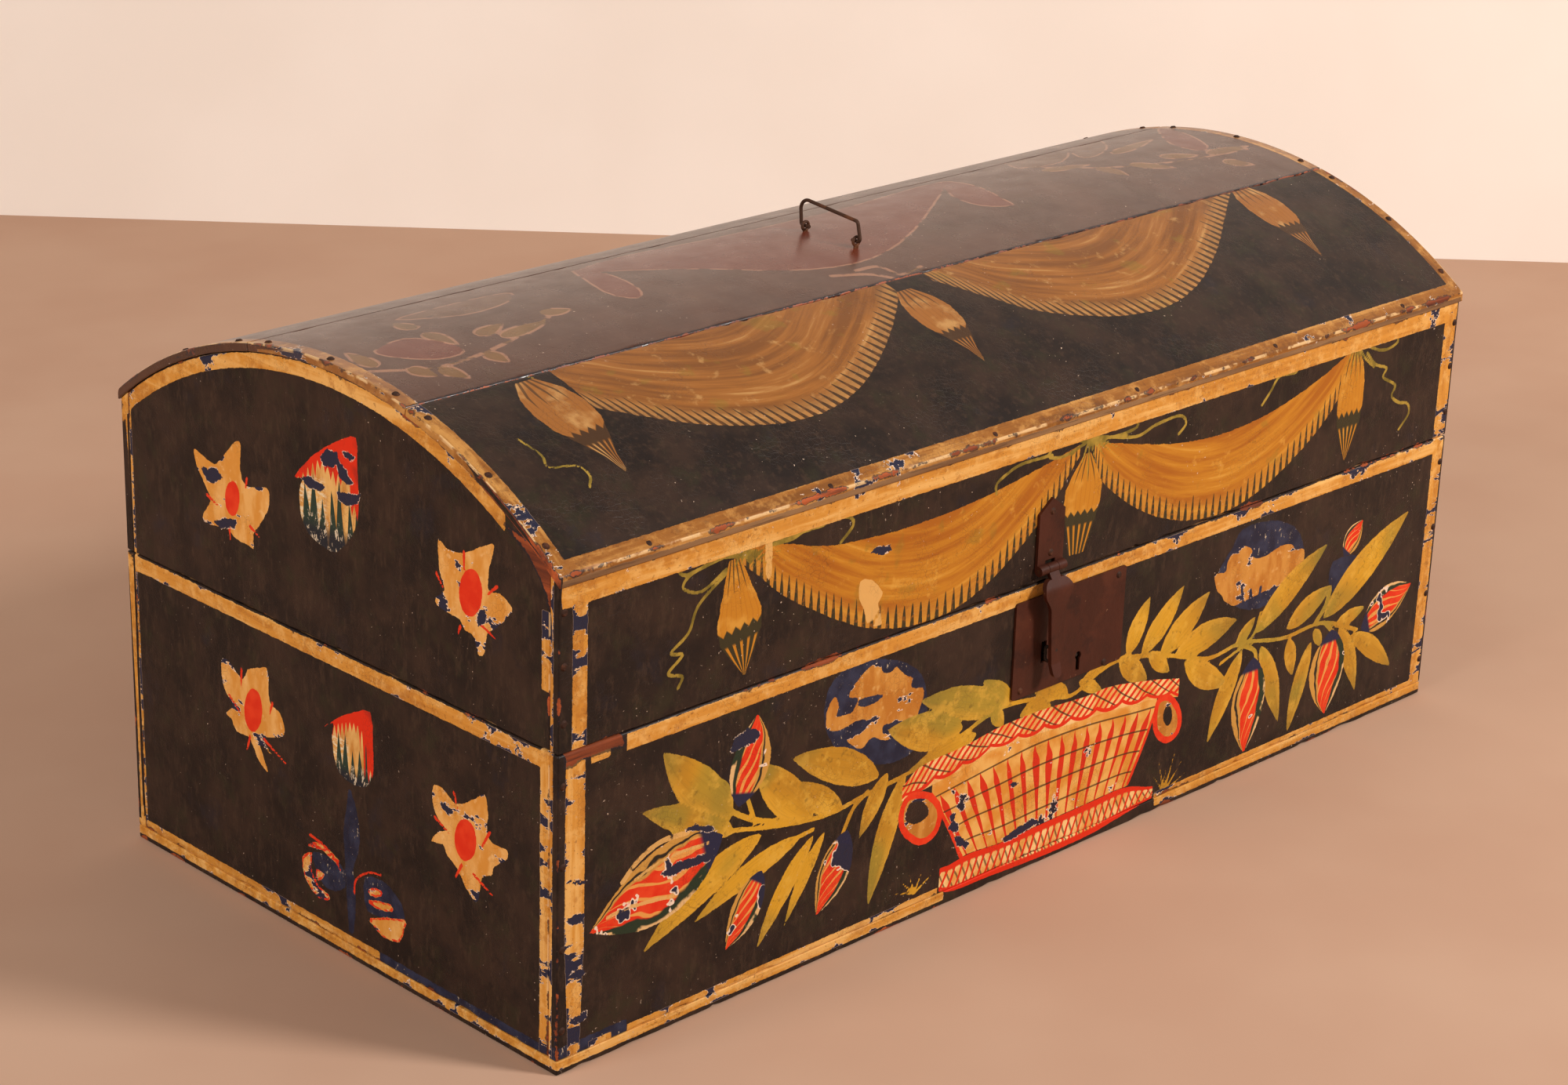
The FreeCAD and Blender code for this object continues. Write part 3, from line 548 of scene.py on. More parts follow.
def outlined(f, form, edge, under):
    """A faded form keeps a thin pale outline in places, where its paint was thickest."""
    field = f.marks(form)[0] if form == "leaf" else f.mark(form)
    line = f.rise(abs(edge * 0.5 + field), 0.8 * mm, 0.35 * mm)
    broken = f.rise(f.grain(110, 3, shift=57), 0.4, 0.5)
    return f.blend(line * broken * 0.55, under, tint(206, 150, 118))


def fringe_and_folds(f, edge, cloth, fringe):
    """A swag: folds along the hem, and a fringe of dark lens-shaped strokes, widest low and pointed at the top."""
    inside, height, along = f.marks("swag")
    mask = cover(f, inside, edge)
    fold = f.grain(1.0, 5, 0.62, on=f.point(along * 12.0, height * 170.0))
    colour = f.blend(f.rise(fold, 0.36, 0.6), cloth[2], cloth[0])
    colour = f.blend(f.rise(fold, 0.55, 0.72) * 0.8, colour, cloth[1])
    colour = f.mottled(colour, cloth[1], 0.55, (0.58, 0.72), 120, 5, 0.65)
    colour = f.mottled(colour, tint(130, 108, 36), 0.35, (0.6, 0.7), 85, 4, shift=27)
    tall = f.grain(130, 1, shift=29) * (8 * mm) + 6.4 * mm
    share = height / tall
    thick = larger(smaller(1.0 - share, 1.0), 0.0) ** 0.6 * 0.58
    cut = f.rise(thick - f.comb(along, 4.9 * mm), 0.0, 0.1)
    cut = cut * f.rise(share, 1.0, 0.9)
    streak = f.mottled(fringe, cloth[2], 0.5, (0.5, 0.66), 420, 2, shift=33)
    colour = f.blend(f.rise(share, 1.12, 0.3) * 0.35, colour, cloth[1])
    colour = f.blend(cut * 0.95, colour, streak)
    return mask, colour


def hanging_tassels(f, edge, cloth, fringe):
    """Tassels: an ochre head with light streaks and dark points at its top, a dark collar and separate strands."""
    inside, down, side = f.marks("tassel")
    mask = cover(f, inside, edge)
    colour = f.blend(f.rise(f.comb(side, 0.24), 0.3, 0.1) * 0.3, cloth[0], cloth[2])
    colour = f.mottled(colour, cloth[1], 0.7, (0.5, 0.7), 95, 4)
    points = f.rise(0.62 - 1.9 * down - f.comb(side, 0.42), 0.0, 0.1)
    ragged = f.comb(side, 0.4, 0.5) * 0.05 + down
    collar = f.rise(ragged, 0.6, 0.62) * f.rise(down, 0.72, 0.69)
    strands = f.rise(down, 0.64, 0.66) * f.rise(f.comb(side, 0.4), 0.7, 0.56)
    dark = larger(larger(collar, strands), points * 0.8)
    colour = f.blend(dark * 0.95, colour, fringe)
    return mask, colour


def ribbons(f, edge, *_):
    mask = cover(f, f.mark("ribbon"), edge, 0.5)
    silk = f.mottled(tint(118, 100, 34), tint(176, 144, 56), 1.0, (0.35, 0.65), 140, 3)
    return mask * 0.92, silk


def leaves(f, edge, *_):
    """Leaf blades: gold or olive by place, lighter along one edge, darker at the tips."""
    inside, along, side = f.marks("leaf")
    mask = cover(f, inside, edge, 0.7)
    line = f.grain(1.0, 4, 0.66, on=f.point(along * 1.6, side * 5.0))
    colour = f.mottled(tint(210, 154, 38), tint(184, 130, 34), 1.0, (0.42, 0.56), 14, 2)
    colour = f.mottled(colour, tint(142, 128, 48), 0.7, (0.52, 0.64), 17, 2, shift=31)
    colour = f.blend(f.rise(side, 0.1, 0.9) * 0.5, colour, tint(218, 162, 54))
    colour = f.blend(f.rise(line, 0.5, 0.36) * 0.22, colour, tint(132, 98, 30))
    colour = f.mottled(colour, tint(222, 172, 66), 0.5, (0.5, 0.66), 120, 5, 0.66, shift=61)
    colour = f.blend(f.rise(along, 0.6, 1.0) * 0.4, colour, tint(92, 92, 44))
    colour = f.mottled(colour, tint(100, 76, 28), 0.5, (0.56, 0.68), 240, 5, 0.7)
    return mask, colour


def buds(f, edge, *_):
    """Buds: vermilion with thin curved cream lines that fan out from a blue foot, a green and an ochre side and a
    broken cream outline."""
    inside, along, side = f.marks("bud")
    mask = cover(f, inside, edge, 0.8)
    slant = along * along * 1.7 + side
    slant = (f.grain(60, 2) - 0.5) * 0.6 + slant
    colour = f.mottled(vermilion, tint(226, 66, 28), 1.0, (0.35, 0.7), 150, 4)
    wide = (0.56 - 0.5 * along) * (f.grain(70, 2, shift=62) * 1.2 + 0.4)
    colour = f.blend(f.rise(wide - f.comb(slant, 0.48), 0.0, 0.14), colour, tint(226, 152, 74))
    ridge = (f.grain(55, 3, shift=5) - 0.5) * 0.7 + side
    colour = f.blend(f.rise(ridge, -0.52, -0.6), colour, tint(198, 144, 66))
    colour = f.blend(f.rise(abs(ridge + 0.72), 0.07, 0.03), colour, tint(40, 34, 26))
    colour = f.blend(f.rise(ridge, 0.54, 0.62), colour, bottle_green)
    line = f.rise(ridge, 0.78, 0.86) * f.rise(f.grain(90, 3, shift=35), 0.45, 0.51)
    colour = f.blend(line, colour, tint(222, 178, 120))
    flake = f.grain(60, 3, 0.55, shift=38)
    colour = f.blend(f.rise(flake, 0.625, 0.63), colour, gesso)
    colour = f.blend(f.rise(flake, 0.642, 0.648), colour, blue_black)
    colour = f.blend(f.rise(along, 0.17, 0.13), colour, tint(34, 36, 62))
    return mask, colour


def blue_forms(f, edge, *_):
    mask = cover(f, f.mark("blue"), edge)
    shade = f.mottled(tint(27, 31, 52), tint(46, 51, 74), 1.0, (0.35, 0.7), 150, 4)
    scratch = f.rise(f.grain(520, 4, 0.75, (1, 1, 0.45), shift=59), 0.62, 0.65) * f.rise(f.grain(60, 3, shift=60),
        0.46, 0.56)
    shade = f.blend(scratch * 0.8, shade, tint(206, 186, 156))
    return mask * 0.95, shade


def cream_forms(f, edge, cloth, *_):
    """Petals of orange-cream with brushed streaks, flaked to blue-black in places with gesso rims."""
    mask = cover(f, f.mark("cream"), edge)
    petal = f.mottled(cloth[0], cloth[1], 1.0, (0.4, 0.62), 110, 4, 0.6, (1, 1, 0.4))
    petal = f.mottled(petal, cloth[2], 0.5, (0.58, 0.7), 260, 4, shift=41)
    flake = f.rise(f.mark("cream"), 2.2 * mm, 0.0) * 0.04 + f.grain(72, 4, 0.62, (0.8, 0.8, 1.6), shift=7)
    petal = f.blend(f.rise(flake, 0.605, 0.61), petal, gesso)
    petal = f.blend(f.rise(flake, 0.616, 0.622), petal, blue_black)
    return mask, petal


def red_forms(f, edge, *_):
    mask = cover(f, f.mark("red"), edge, 0.6)
    shade = f.mottled(vermilion, tint(228, 62, 26), 1.0, (0.35, 0.7), 160, 3)
    return mask, shade


def fine_lines(f, edge, *_):
    """Thin cream brush lines and rubbed pale patches, broken in places."""
    mask = cover(f, f.mark("line"), edge, 0.6)
    broken = f.rise(f.grain(170, 4, shift=55), 0.36, 0.44)
    return mask * broken * 0.9, tint(222, 170, 98)


def tulips_on_end(f, edge, *_):
    """A tulip: cream, with vermilion points hanging from its crown and green ones standing on its foot, rubbed pale
    on one side and scratched over the dark foot."""
    inside, down, side = f.marks("tulip")
    mask = cover(f, inside, edge, 0.8)
    petal = f.mottled(tint(196, 132, 58), tint(228, 178, 104), 1.0, (0.36, 0.6), 150, 4, 0.6, (1, 1, 0.3))
    rubbed = f.rise(side, 0.25, 0.5) * f.rise(down, 0.36, 0.46) * f.rise(f.grain(330, 4, 0.7, (1, 1, 2.2), shift=42),
        0.44, 0.56)
    petal = f.blend(rubbed, petal, tint(232, 208, 166))
    uneven = f.grain(170, 1, stretch=(1, 1, 0.01), shift=49)
    low = (uneven * 0.9 + down - 0.92) * 2.3
    petal = f.blend(f.rise(low - f.comb(side, 0.4, 0.2), -0.06, 0.06), petal, tint(38, 58, 46))
    point = (1.0 - f.comb(side, 0.23)) ** 1.3
    crown = point * uneven * (9 * mm) + f.mark("crown")
    red = f.mottled(vermilion, tint(172, 36, 20), 1.0, (0.5, 0.66), 60, 4, shift=50)
    petal = f.blend(f.rise(crown, 0.0, 0.4 * mm), petal, red)
    petal = f.blend(f.rise(down, 0.74, 0.9) * 0.92, petal, tint(30, 32, 42))
    scratch = f.rise(f.grain(520, 4, 0.75, (1, 1, 0.45), shift=43), 0.56, 0.6) * f.rise(down, 0.66, 0.8)
    petal = f.blend(scratch * 0.85, petal, tint(226, 206, 176))
    return mask, petal


def basket_work(f, edge, *_):
    """The basket's wall: tapering vermilion uprights over cream, and thin dark rows."""
    inside, across, up = f.marks("wall")
    mask = cover(f, inside, edge, 0.6)
    straw = f.mottled(tint(212, 138, 50), tint(230, 174, 92), 1.0, (0.35, 0.65), 100, 4)
    wide = smaller(up * 0.95 + 0.38, 4.6 - 4.5 * up)
    wide = smaller(wide, 1.0) * (f.grain(60, 1, shift=51) * 0.5 + 0.22)
    sway = (f.grain(30, 2) - 0.5) * 0.02 + across
    strokes = f.rise(wide - f.comb(sway, 1 / 17), 0.0, 0.06)
    straw = f.blend(strokes, straw, tint(208, 44, 16))
    row = abs((up * 3.75 - 0.25).math("FRACT") - 0.5)
    rows = f.rise(row, 0.055, 0.03) * f.rise(up, 1.06, 1.03)
    straw = f.blend(rows * 0.85, straw, tint(62, 42, 22))
    flake = f.rise(up, 0.25, 0.0) * 0.07 + f.grain(62, 5, 0.66, shift=47)
    straw = f.blend(f.rise(flake, 0.635, 0.64), straw, gesso)
    straw = f.blend(f.rise(flake, 0.65, 0.656), straw, tint(32, 30, 44))
    return mask, straw


# The basket's foot counts its lacing from here, so that it is told from the rim.
foot_count = 1000


def lattice_work(f, edge, *_):
    """Rim and foot of the basket over cream. The rim has slanting vermilion strokes, long thin dark arcs and a
    scalloped line below. The foot, whose count along starts at foot_count, has crossed lines between two broad
    ones."""
    inside, along, across = f.marks("lattice")
    mask = cover(f, inside, edge, 0.5)
    straw = f.mottled(tint(222, 154, 72), tint(242, 200, 132), 1.0, (0.35, 0.65), 100, 4)
    foot = f.rise(along, foot_count / 2, foot_count / 2 + 1)
    sway = (f.grain(90, 2) - 0.5) * 0.5 + along
    forward = f.rise(f.comb(across * -2.5 + sway, 1.0), 0.52, 0.38)
    bend = across * (6.0 - 1.5 * across)
    arcs = f.rise(f.comb(sway + bend, 2.8), 0.16, 0.08)
    wave = f.comb(along, 3.6) ** 2.0 * 0.22 + 0.08
    scallop = f.rise(abs(across - wave), 0.1, 0.06)
    above = f.rise(across - wave, 0.0, 0.02)
    rim = f.blend(forward * above, straw, vermilion)
    rim = f.blend(arcs * above * 0.85, rim, tint(58, 40, 22))
    rim = f.blend(scallop, rim, vermilion)
    back = f.rise(f.comb(across * 1.5 + sway, 1.0), 0.3, 0.18)
    fore = f.rise(f.comb(across * -1.3 + sway, 1.0), 0.36, 0.24)
    base = f.blend(back * 0.8, straw, tint(90, 66, 34))
    base = f.blend(fore, base, vermilion)
    border = larger(f.rise(across, 0.22, 0.16), f.rise(across, 0.76, 0.82))
    base = f.blend(border, base, vermilion)
    return mask, f.blend(foot, rim, base)


# Painters in the order their forms lie over one another.
painters = {"blue": blue_forms, "tulip": tulips_on_end, "cream": cream_forms, "leaf": leaves, "wall": basket_work,
    "lattice": lattice_work, "swag": fringe_and_folds, "tassel": hanging_tassels, "ribbon": ribbons, "red": red_forms,
    "bud": buds, "line": fine_lines}
# What part of a board's fading these forms take.
slow_to_fade = {"swag": 0.45, "tassel": 0.45, "leaf": 0.86}
outlined_forms = ("leaf", "cream", "red")


def painted_board(name, run, forms=(), band=ochre, faded=0.0, cloth=rail_cloth, fringe=rail_fringe, shine=0.42,
        varnish=0.22, chips=0.66, across_run=along_z, crossing=(0.6, 0.6, 1.9), bloom_and_painted_sheen=0.0):
    """The chest's painted finish: dark ground, painted forms and ochre bands one over another, flaked near the
    arrises down to gesso and blue-black, rubbed to the wood in places, under old varnish."""
    f = Finish(name)
    rim, skin = f.mark("rim"), f.mark("skin")
    edge = (f.grain(240, 3) - 0.5) * (1.2 * mm) + (f.grain(1100, 2) - 0.5) * (0.7 * mm)
    ground = f.mottled(tint(30, 21, 18), tint(52, 36, 28), 1.0, (0.36, 0.66), 40, 6, 0.62)
    ground = f.mottled(ground, tint(46, 42, 26), 0.6, (0.5, 0.7), 64, 6, 0.68, shift=2)
    ground = f.mottled(ground, tint(36, 32, 40), 0.5, (0.58, 0.72), 38, 5, 0.62, shift=9)
    ground = f.mottled(ground, tint(68, 50, 38), 0.5, (0.5, 0.68), 330, 4, 0.7, (1, 1, 0.35), shift=12)
    ground = f.mottled(ground, tint(22, 17, 16), 0.5, (0.54, 0.68), 90, 6, 0.72, shift=28)
    colour = ground
    for form in [key for key in painters if key in forms]:
        lost = faded * slow_to_fade.get(form, 1.0)
        mask, paint = painters[form](f, edge, cloth, fringe)
        colour = f.blend(mask * (1.0 - lost), colour, paint)
        if lost > 0.5 and form in outlined_forms:
            colour = outlined(f, form, edge, colour)
    # A warm brown film over the board: partly its faded, bloomed paint, and partly painted sheen that lightens the
    # top roof boards the way a reflection of the pale room would.
    if bloom_and_painted_sheen:
        colour = f.blend(f.grain(30, 4, shift=53) * 0.3 + bloom_and_painted_sheen - 0.15, colour, tint(112, 60, 34))
    bands = cover(f, f.mark("band"), edge, 0.7)
    level, upright = f.grain(170, 5, 0.62, run, shift=4), f.grain(170, 5, 0.62, across_run, shift=4)
    brush = f.either(f.mark("upright"), level, upright)
    stripe = f.blend(f.rise(brush, 0.5, 0.36) * 0.55, band[0], band[2])
    stripe = f.blend(f.rise(brush, 0.5, 0.64) * 0.8, stripe, band[1])
    stripe = f.mottled(stripe, band[1], 0.6, (0.48, 0.66), 150, 6, 0.68, shift=14)
    stripe = f.mottled(stripe, band[2], 0.5, (0.53, 0.66), 120, 6, 0.7, shift=25)
    stripe = f.mottled(stripe, tint(110, 62, 28), 0.5, (0.62, 0.7), 640, 3, 0.6, shift=15)
    colour = f.blend(bands, colour, stripe)
    level_flake, upright_flake = f.grain(52, 5, 0.64, shift=11), f.grain(70, 5, 0.64, crossing, shift=21) + 0.045
    flake = f.either(f.mark("upright"), level_flake, upright_flake)
    flake = flake + f.rise(rim, 10 * mm, 0.0) * 0.05
    flake = flake + f.rise(f.mark("band"), 1.8 * mm, 0.0) * 0.06
    flake = f.mark("wear") * 0.075 + flake
    rimmed = f.rise(flake, chips, chips + 0.004) * bands
    lifted = f.rise(flake, chips + 0.009, chips + 0.014) * bands
    colour = f.blend(rimmed * 0.9, colour, gesso)
    colour = f.blend(lifted, colour, blue_black)
    pale = f.rise(rim, 0.9 * mm, 0.4 * mm) * bands * f.rise(f.grain(120, 4, shift=16), 0.46, 0.54)
    colour = f.blend(pale * 0.75, colour, tint(232, 192, 136))
    chip = edge * 2.4 + f.mark("chip")
    rim_left = f.rise(chip, -0.35 * mm, -0.1 * mm) * f.rise(f.grain(210, 3, shift=63), 0.47, 0.55)
    colour = f.blend(rim_left * 0.85, colour, gesso)
    colour = f.blend(f.rise(chip, -0.05 * mm, 0.15 * mm), colour, blue_black)
    speck = f.rise(f.grain(700, 2, 0.5, shift=13), 0.736, 0.752) * f.rise(f.grain(16, 3, shift=64), 0.42, 0.6)
    colour = f.blend(speck * 0.85, colour, tint(210, 184, 162))
    cells = f.value("ShaderNodeTexVoronoi", {"Vector": f.here, "Scale": 420.0}, feature="DISTANCE_TO_EDGE")
    crack = f.rise(cells, 0.05, 0.0) * f.rise(f.grain(45, 3, shift=17), 0.45, 0.6)
    colour = f.blend(crack * 0.3, colour, tint(44, 28, 22))
    wood, streaks = wood_colours(f, run, bare_wood, dark_wood, tint(44, 26, 20))
    rub = (f.grain(46, 6, 0.68, shift=19) - 0.45) * (14 * mm) + rim
    lost = edge * 2.2 + f.mark("bare")
    worn = larger(f.rise(rub, 0.3 * mm, 0.0), f.rise(lost, 0.0, 0.3 * mm))
    halo = larger(f.rise(rub, 0.9 * mm, 0.5 * mm), f.rise(lost, -1.1 * mm, -0.7 * mm))
    colour = f.blend(halo * 0.8, colour, tint(34, 29, 34))
    colour = f.blend(worn, colour, wood)
    inner, _ = wood_colours(f, run, tint(158, 120, 80), tint(112, 78, 50), tint(74, 50, 34))
    unpainted = f.rise(edge * 0.7 + skin, 1.3 * mm, 1.7 * mm)
    colour = f.blend(unpainted, colour, inner)
    gloss = f.grain(90, 4) * 0.2 + shine - 0.1
    gloss = larger(worn, unpainted) * 0.3 + gloss
    f.relief((bands, 0.3), (rimmed, -0.4), (brush, 0.3), (f.grain(30, 3), 1.2),
        (streaks * larger(unpainted, worn), 0.7), (crack, -0.2), (worn, -0.5), strength=0.6)
    return f.settle(colour, gloss, Specular_IOR_Level=varnish)


def forged_iron(name, base, rust, dull, metallic, rusted=0.5):
    """Hand-forged iron: a dark skin with rust in patches and small dents."""
    f = Finish(name)
    patches = f.grain(130, 5, 0.62)
    fine = f.grain(900, 3, 0.6, shift=4)
    colour = f.blend(f.rise(patches, rusted, rusted + 0.16), base, rust)
    colour = f.blend(f.rise(fine, 0.55, 0.75) * 0.5, colour, tint(24, 18, 16))
    f.relief((patches, 0.8), (fine, 0.4), (f.grain(260, 3), 0.6), strength=0.7)
    return f.settle(colour, patches * 0.25 + dull, Metallic=metallic, Specular_IOR_Level=0.3)


def brown_painted_iron(name):
    """The lock's iron under a coat of red-brown paint: brush marks, small losses and a soft gloss."""
    f = Finish(name)
    brush = f.grain(90, 4, 0.55, (1, 1, 0.6))
    colour = f.blend(f.rise(brush, 0.3, 0.7), tint(60, 27, 16), tint(72, 33, 20))
    patches = f.grain(60, 6, 0.66, shift=6)
    colour = f.blend(f.rise(patches, 0.54, 0.68) * 0.7, colour, tint(44, 20, 14))
    colour = f.mottled(colour, tint(92, 46, 28), 0.35, (0.58, 0.7), 44, 5, 0.6, shift=3)
    colour = f.mottled(colour, tint(120, 84, 62), 1.0, (0.73, 0.76), 420, 3, shift=8)
    f.relief((brush, 0.5), (f.grain(55, 3), 1.4), (f.grain(500, 2), 0.3), (patches, 0.5), strength=0.7)
    return f.settle(colour, brush * 0.2 + 0.42, Specular_IOR_Level=0.22)


# Painted forms of each board.

# Where each panel's corners are seen, from its left foot round to its right foot, and what they are on the chest.
box_front_seen = [(707, 1376), (718, 969), (1846, 556), (1814, 879)]
box_front_real = [(-half_length, 0), (-half_length, box_top), (half_length, box_top), (half_length, 0)]
rail_seen = [(718, 967), (715, 755), (1857, 376), (1847, 545)]
rail_real = [(-half_length, lid_foot), (-half_length, rail_top), (half_length, rail_top), (half_length, lid_foot)]
box_end_seen = [(707, 1376), (714, 966), (160, 694), (177, 1072)]
box_end_real = [(front_face, 0), (front_face, box_top), (back_face, box_top), (back_face, 0)]
lid_end_seen = [(714, 966), (706, 745), (156, 506), (160, 694)]
lid_end_real = [(front_face, lid_foot), (front_face, rail_top), (back_face, rail_top), (back_face, lid_foot)]

on_box_front = photo_to_panel(box_front_seen, box_front_real)
on_rail = photo_to_panel(rail_seen, rail_real)
on_box_end = photo_to_panel(box_end_seen, box_end_real)
on_lid_end = photo_to_panel(lid_end_seen, lid_end_real)


def on_roof(points):
    """Photo points carried to the roof: each sight line meets the roof's cylinder, and the point is kept as its place
    along X and its arc length from the crown, negative to the front."""
    right, up, forward = (np.array(v) for v in view_axes())
    p = np.atleast_2d(np.asarray(points, float))
    rays = forward + np.outer((p[:, 0] - photo_width / 2) / view_focal,
        right) - np.outer((p[:, 1] - photo_height / 2) / view_focal, up)
    start = np.array([eye.y, eye.z - roof_axis])
    a, b, c = (rays[:, 1:] ** 2).sum(1), 2 * rays[:, 1:] @ start, start @ start - roof_outer**2
    reach = (-b - np.sqrt(np.clip(b * b - 4 * a * c, 0, None))) / (2 * a)
    y, z = (start[:, None] + rays[:, 1:].T * reach)
    return np.column_stack([eye.x + rays[:, 0] * reach, roof_outer * np.arctan2(y, z)])


def strip(value, low, high):
    """How far inside a band between two lines each value is."""
    return (high - low) / 2 - np.abs(value - (high + low) / 2)


def banded(level, upright):
    """The marks of level and upright bands, and which of the two each point's paint was brushed with."""
    level, upright = np.broadcast_arrays(level, upright)
    return {"band": np.maximum(level, upright), "upright": (upright > level).astype(float)}


def with_holes(grid, outline, *holes):
    """A closed shape less the holes left in it."""
    return np.minimum.reduce([shape_within(grid, outline), *[-shape_within(grid, hole) for hole in holes]])


def height_over(grid, at, low_line, high_line):
    """The share of the way each point is between two flowing lines of photo points, with both heights."""
    low, high = (np.interp(grid[..., 0], line[:, 0], line[:, 1])
        for line in (flowing(at(low_line)), flowing(at(high_line))))
    return (grid[..., 1] - low) / np.maximum(high - low, 2 * mm), low, high


box_top_band = (126.4 * mm, 133.4 * mm)
foot_band = (2.2 * mm, 9.4 * mm)
# The bands that stand at the front and back of an end, and at a roof board's ends.
end_front_band = (-134.5 * mm, -127.8 * mm)
end_back_band = (130.8 * mm, 136 * mm)
roof_end_bands = ((-281.8 * mm, -274 * mm), (274 * mm, 281.8 * mm))
# What lies closer to a board's end than this is its end grain.
end_grain_depth = 0.75 * mm
# The chest's left front corner is the most worn: its paint is thinnest at the foot and better towards the top.
worn_corner_on_front, worn_corner_on_end = -250 * mm, -110 * mm
# What a photo pixel spans on the box's front, as photo columns and the span at each.
pixel_span = ((900, 1800), (0.44 * mm, 0.44 * 1.45 * mm))


def corner_wear(z):
    """How worn the paint is at a height on that corner."""
    return np.clip(1.3 - z / (60 * mm), 0.25, 1)


def basket_marks(grid, at):
    """The basket: its wall, its laced rim and foot as one layer, and the vermilion lines down its sides."""
    x, z = grid[..., 0], grid[..., 1]
    rim_top = [(1152, 1001), (1158.8, 997.5), (1180.6, 975.6), (1233.8, 950.6), (1274, 928.8), (1302.5, 916),
        (1340, 902), (1390, 886.6), (1421, 874), (1471, 866), (1508.8, 863)]
    rim_foot = [(1152, 1023), (1172, 1012), (1199, 997.5), (1236.9, 977), (1268, 956.9), (1302.5, 944.4),
        (1333.8, 933.4), (1365, 924), (1393, 914.7), (1421, 905.3), (1449, 897.5), (1477.5, 889.7), (1508, 887)]
    wall_top = [(1186, 1022), (1196, 1016), (1243, 991), (1280.6, 971), (1327.5, 947.5), (1390, 924), (1452.5, 906.9),
        (1479, 899), (1490, 897)]
    foot_top = [(1204, 1105), (1215, 1100.6), (1240, 1086.6), (1280.6, 1072.5), (1327.5, 1050.6), (1390, 1022.5),
        (1436.9, 1002), (1466.6, 1000.6), (1480, 999)]
    foot_low = [(1197.8, 1136.6), (1218, 1135), (1265, 1116), (1327.5, 1092), (1390, 1064), (1421, 1046),
        (1471, 1016), (1480, 1009)]
    up, low, high = height_over(grid, at, foot_top, wall_top)
    (left_top, right_top), (left_foot, right_foot) = at([(1191.6, 1013), (1479, 900.6)]), at(
        [(1229, 1092.8), (1441.6, 997.5)])
    left = np.interp(z, [left_foot[1], left_top[1]], [left_foot[0], left_top[0]])
    right = np.interp(z, [right_foot[1], right_top[1]], [right_foot[0], right_top[0]])
    above = height_over(grid, at, wall_top, rim_foot)[2]
    inside = np.minimum(np.minimum(x - left, right - x), np.minimum(z - low, above + 1 * mm - z))
    wall = np.stack([np.clip(inside, nothing, None), (x - left) / (right - left), up], -1)
    laced = []
    for below, over, ends, pitch, count in ((rim_foot, rim_top, ((1154, 1010), (1508, 875)), 4.8 * mm, 0),
            (foot_low, foot_top, ((1200, 1120), (1474, 1006)), 4.6 * mm, foot_count)):
        across, low, high = height_over(grid, at, below, over)
        (start, _), (stop, _) = at(ends)
        inside = np.minimum(np.minimum(z - low, high - z), np.minimum(x - start, stop - x))
        laced.append(np.stack([np.clip(inside, nothing, None), count + (x + half_length) / pitch, across], -1))
    sides = [stroke(grid, at([(1191.6, 1013), (1212, 1052), (1229, 1093)]), 1.1 * mm),
        stroke(grid, at([(1479, 901), (1461, 950), (1441.6, 997.5)]), 1.0 * mm)]
    return wall, topmost(*laced), sides


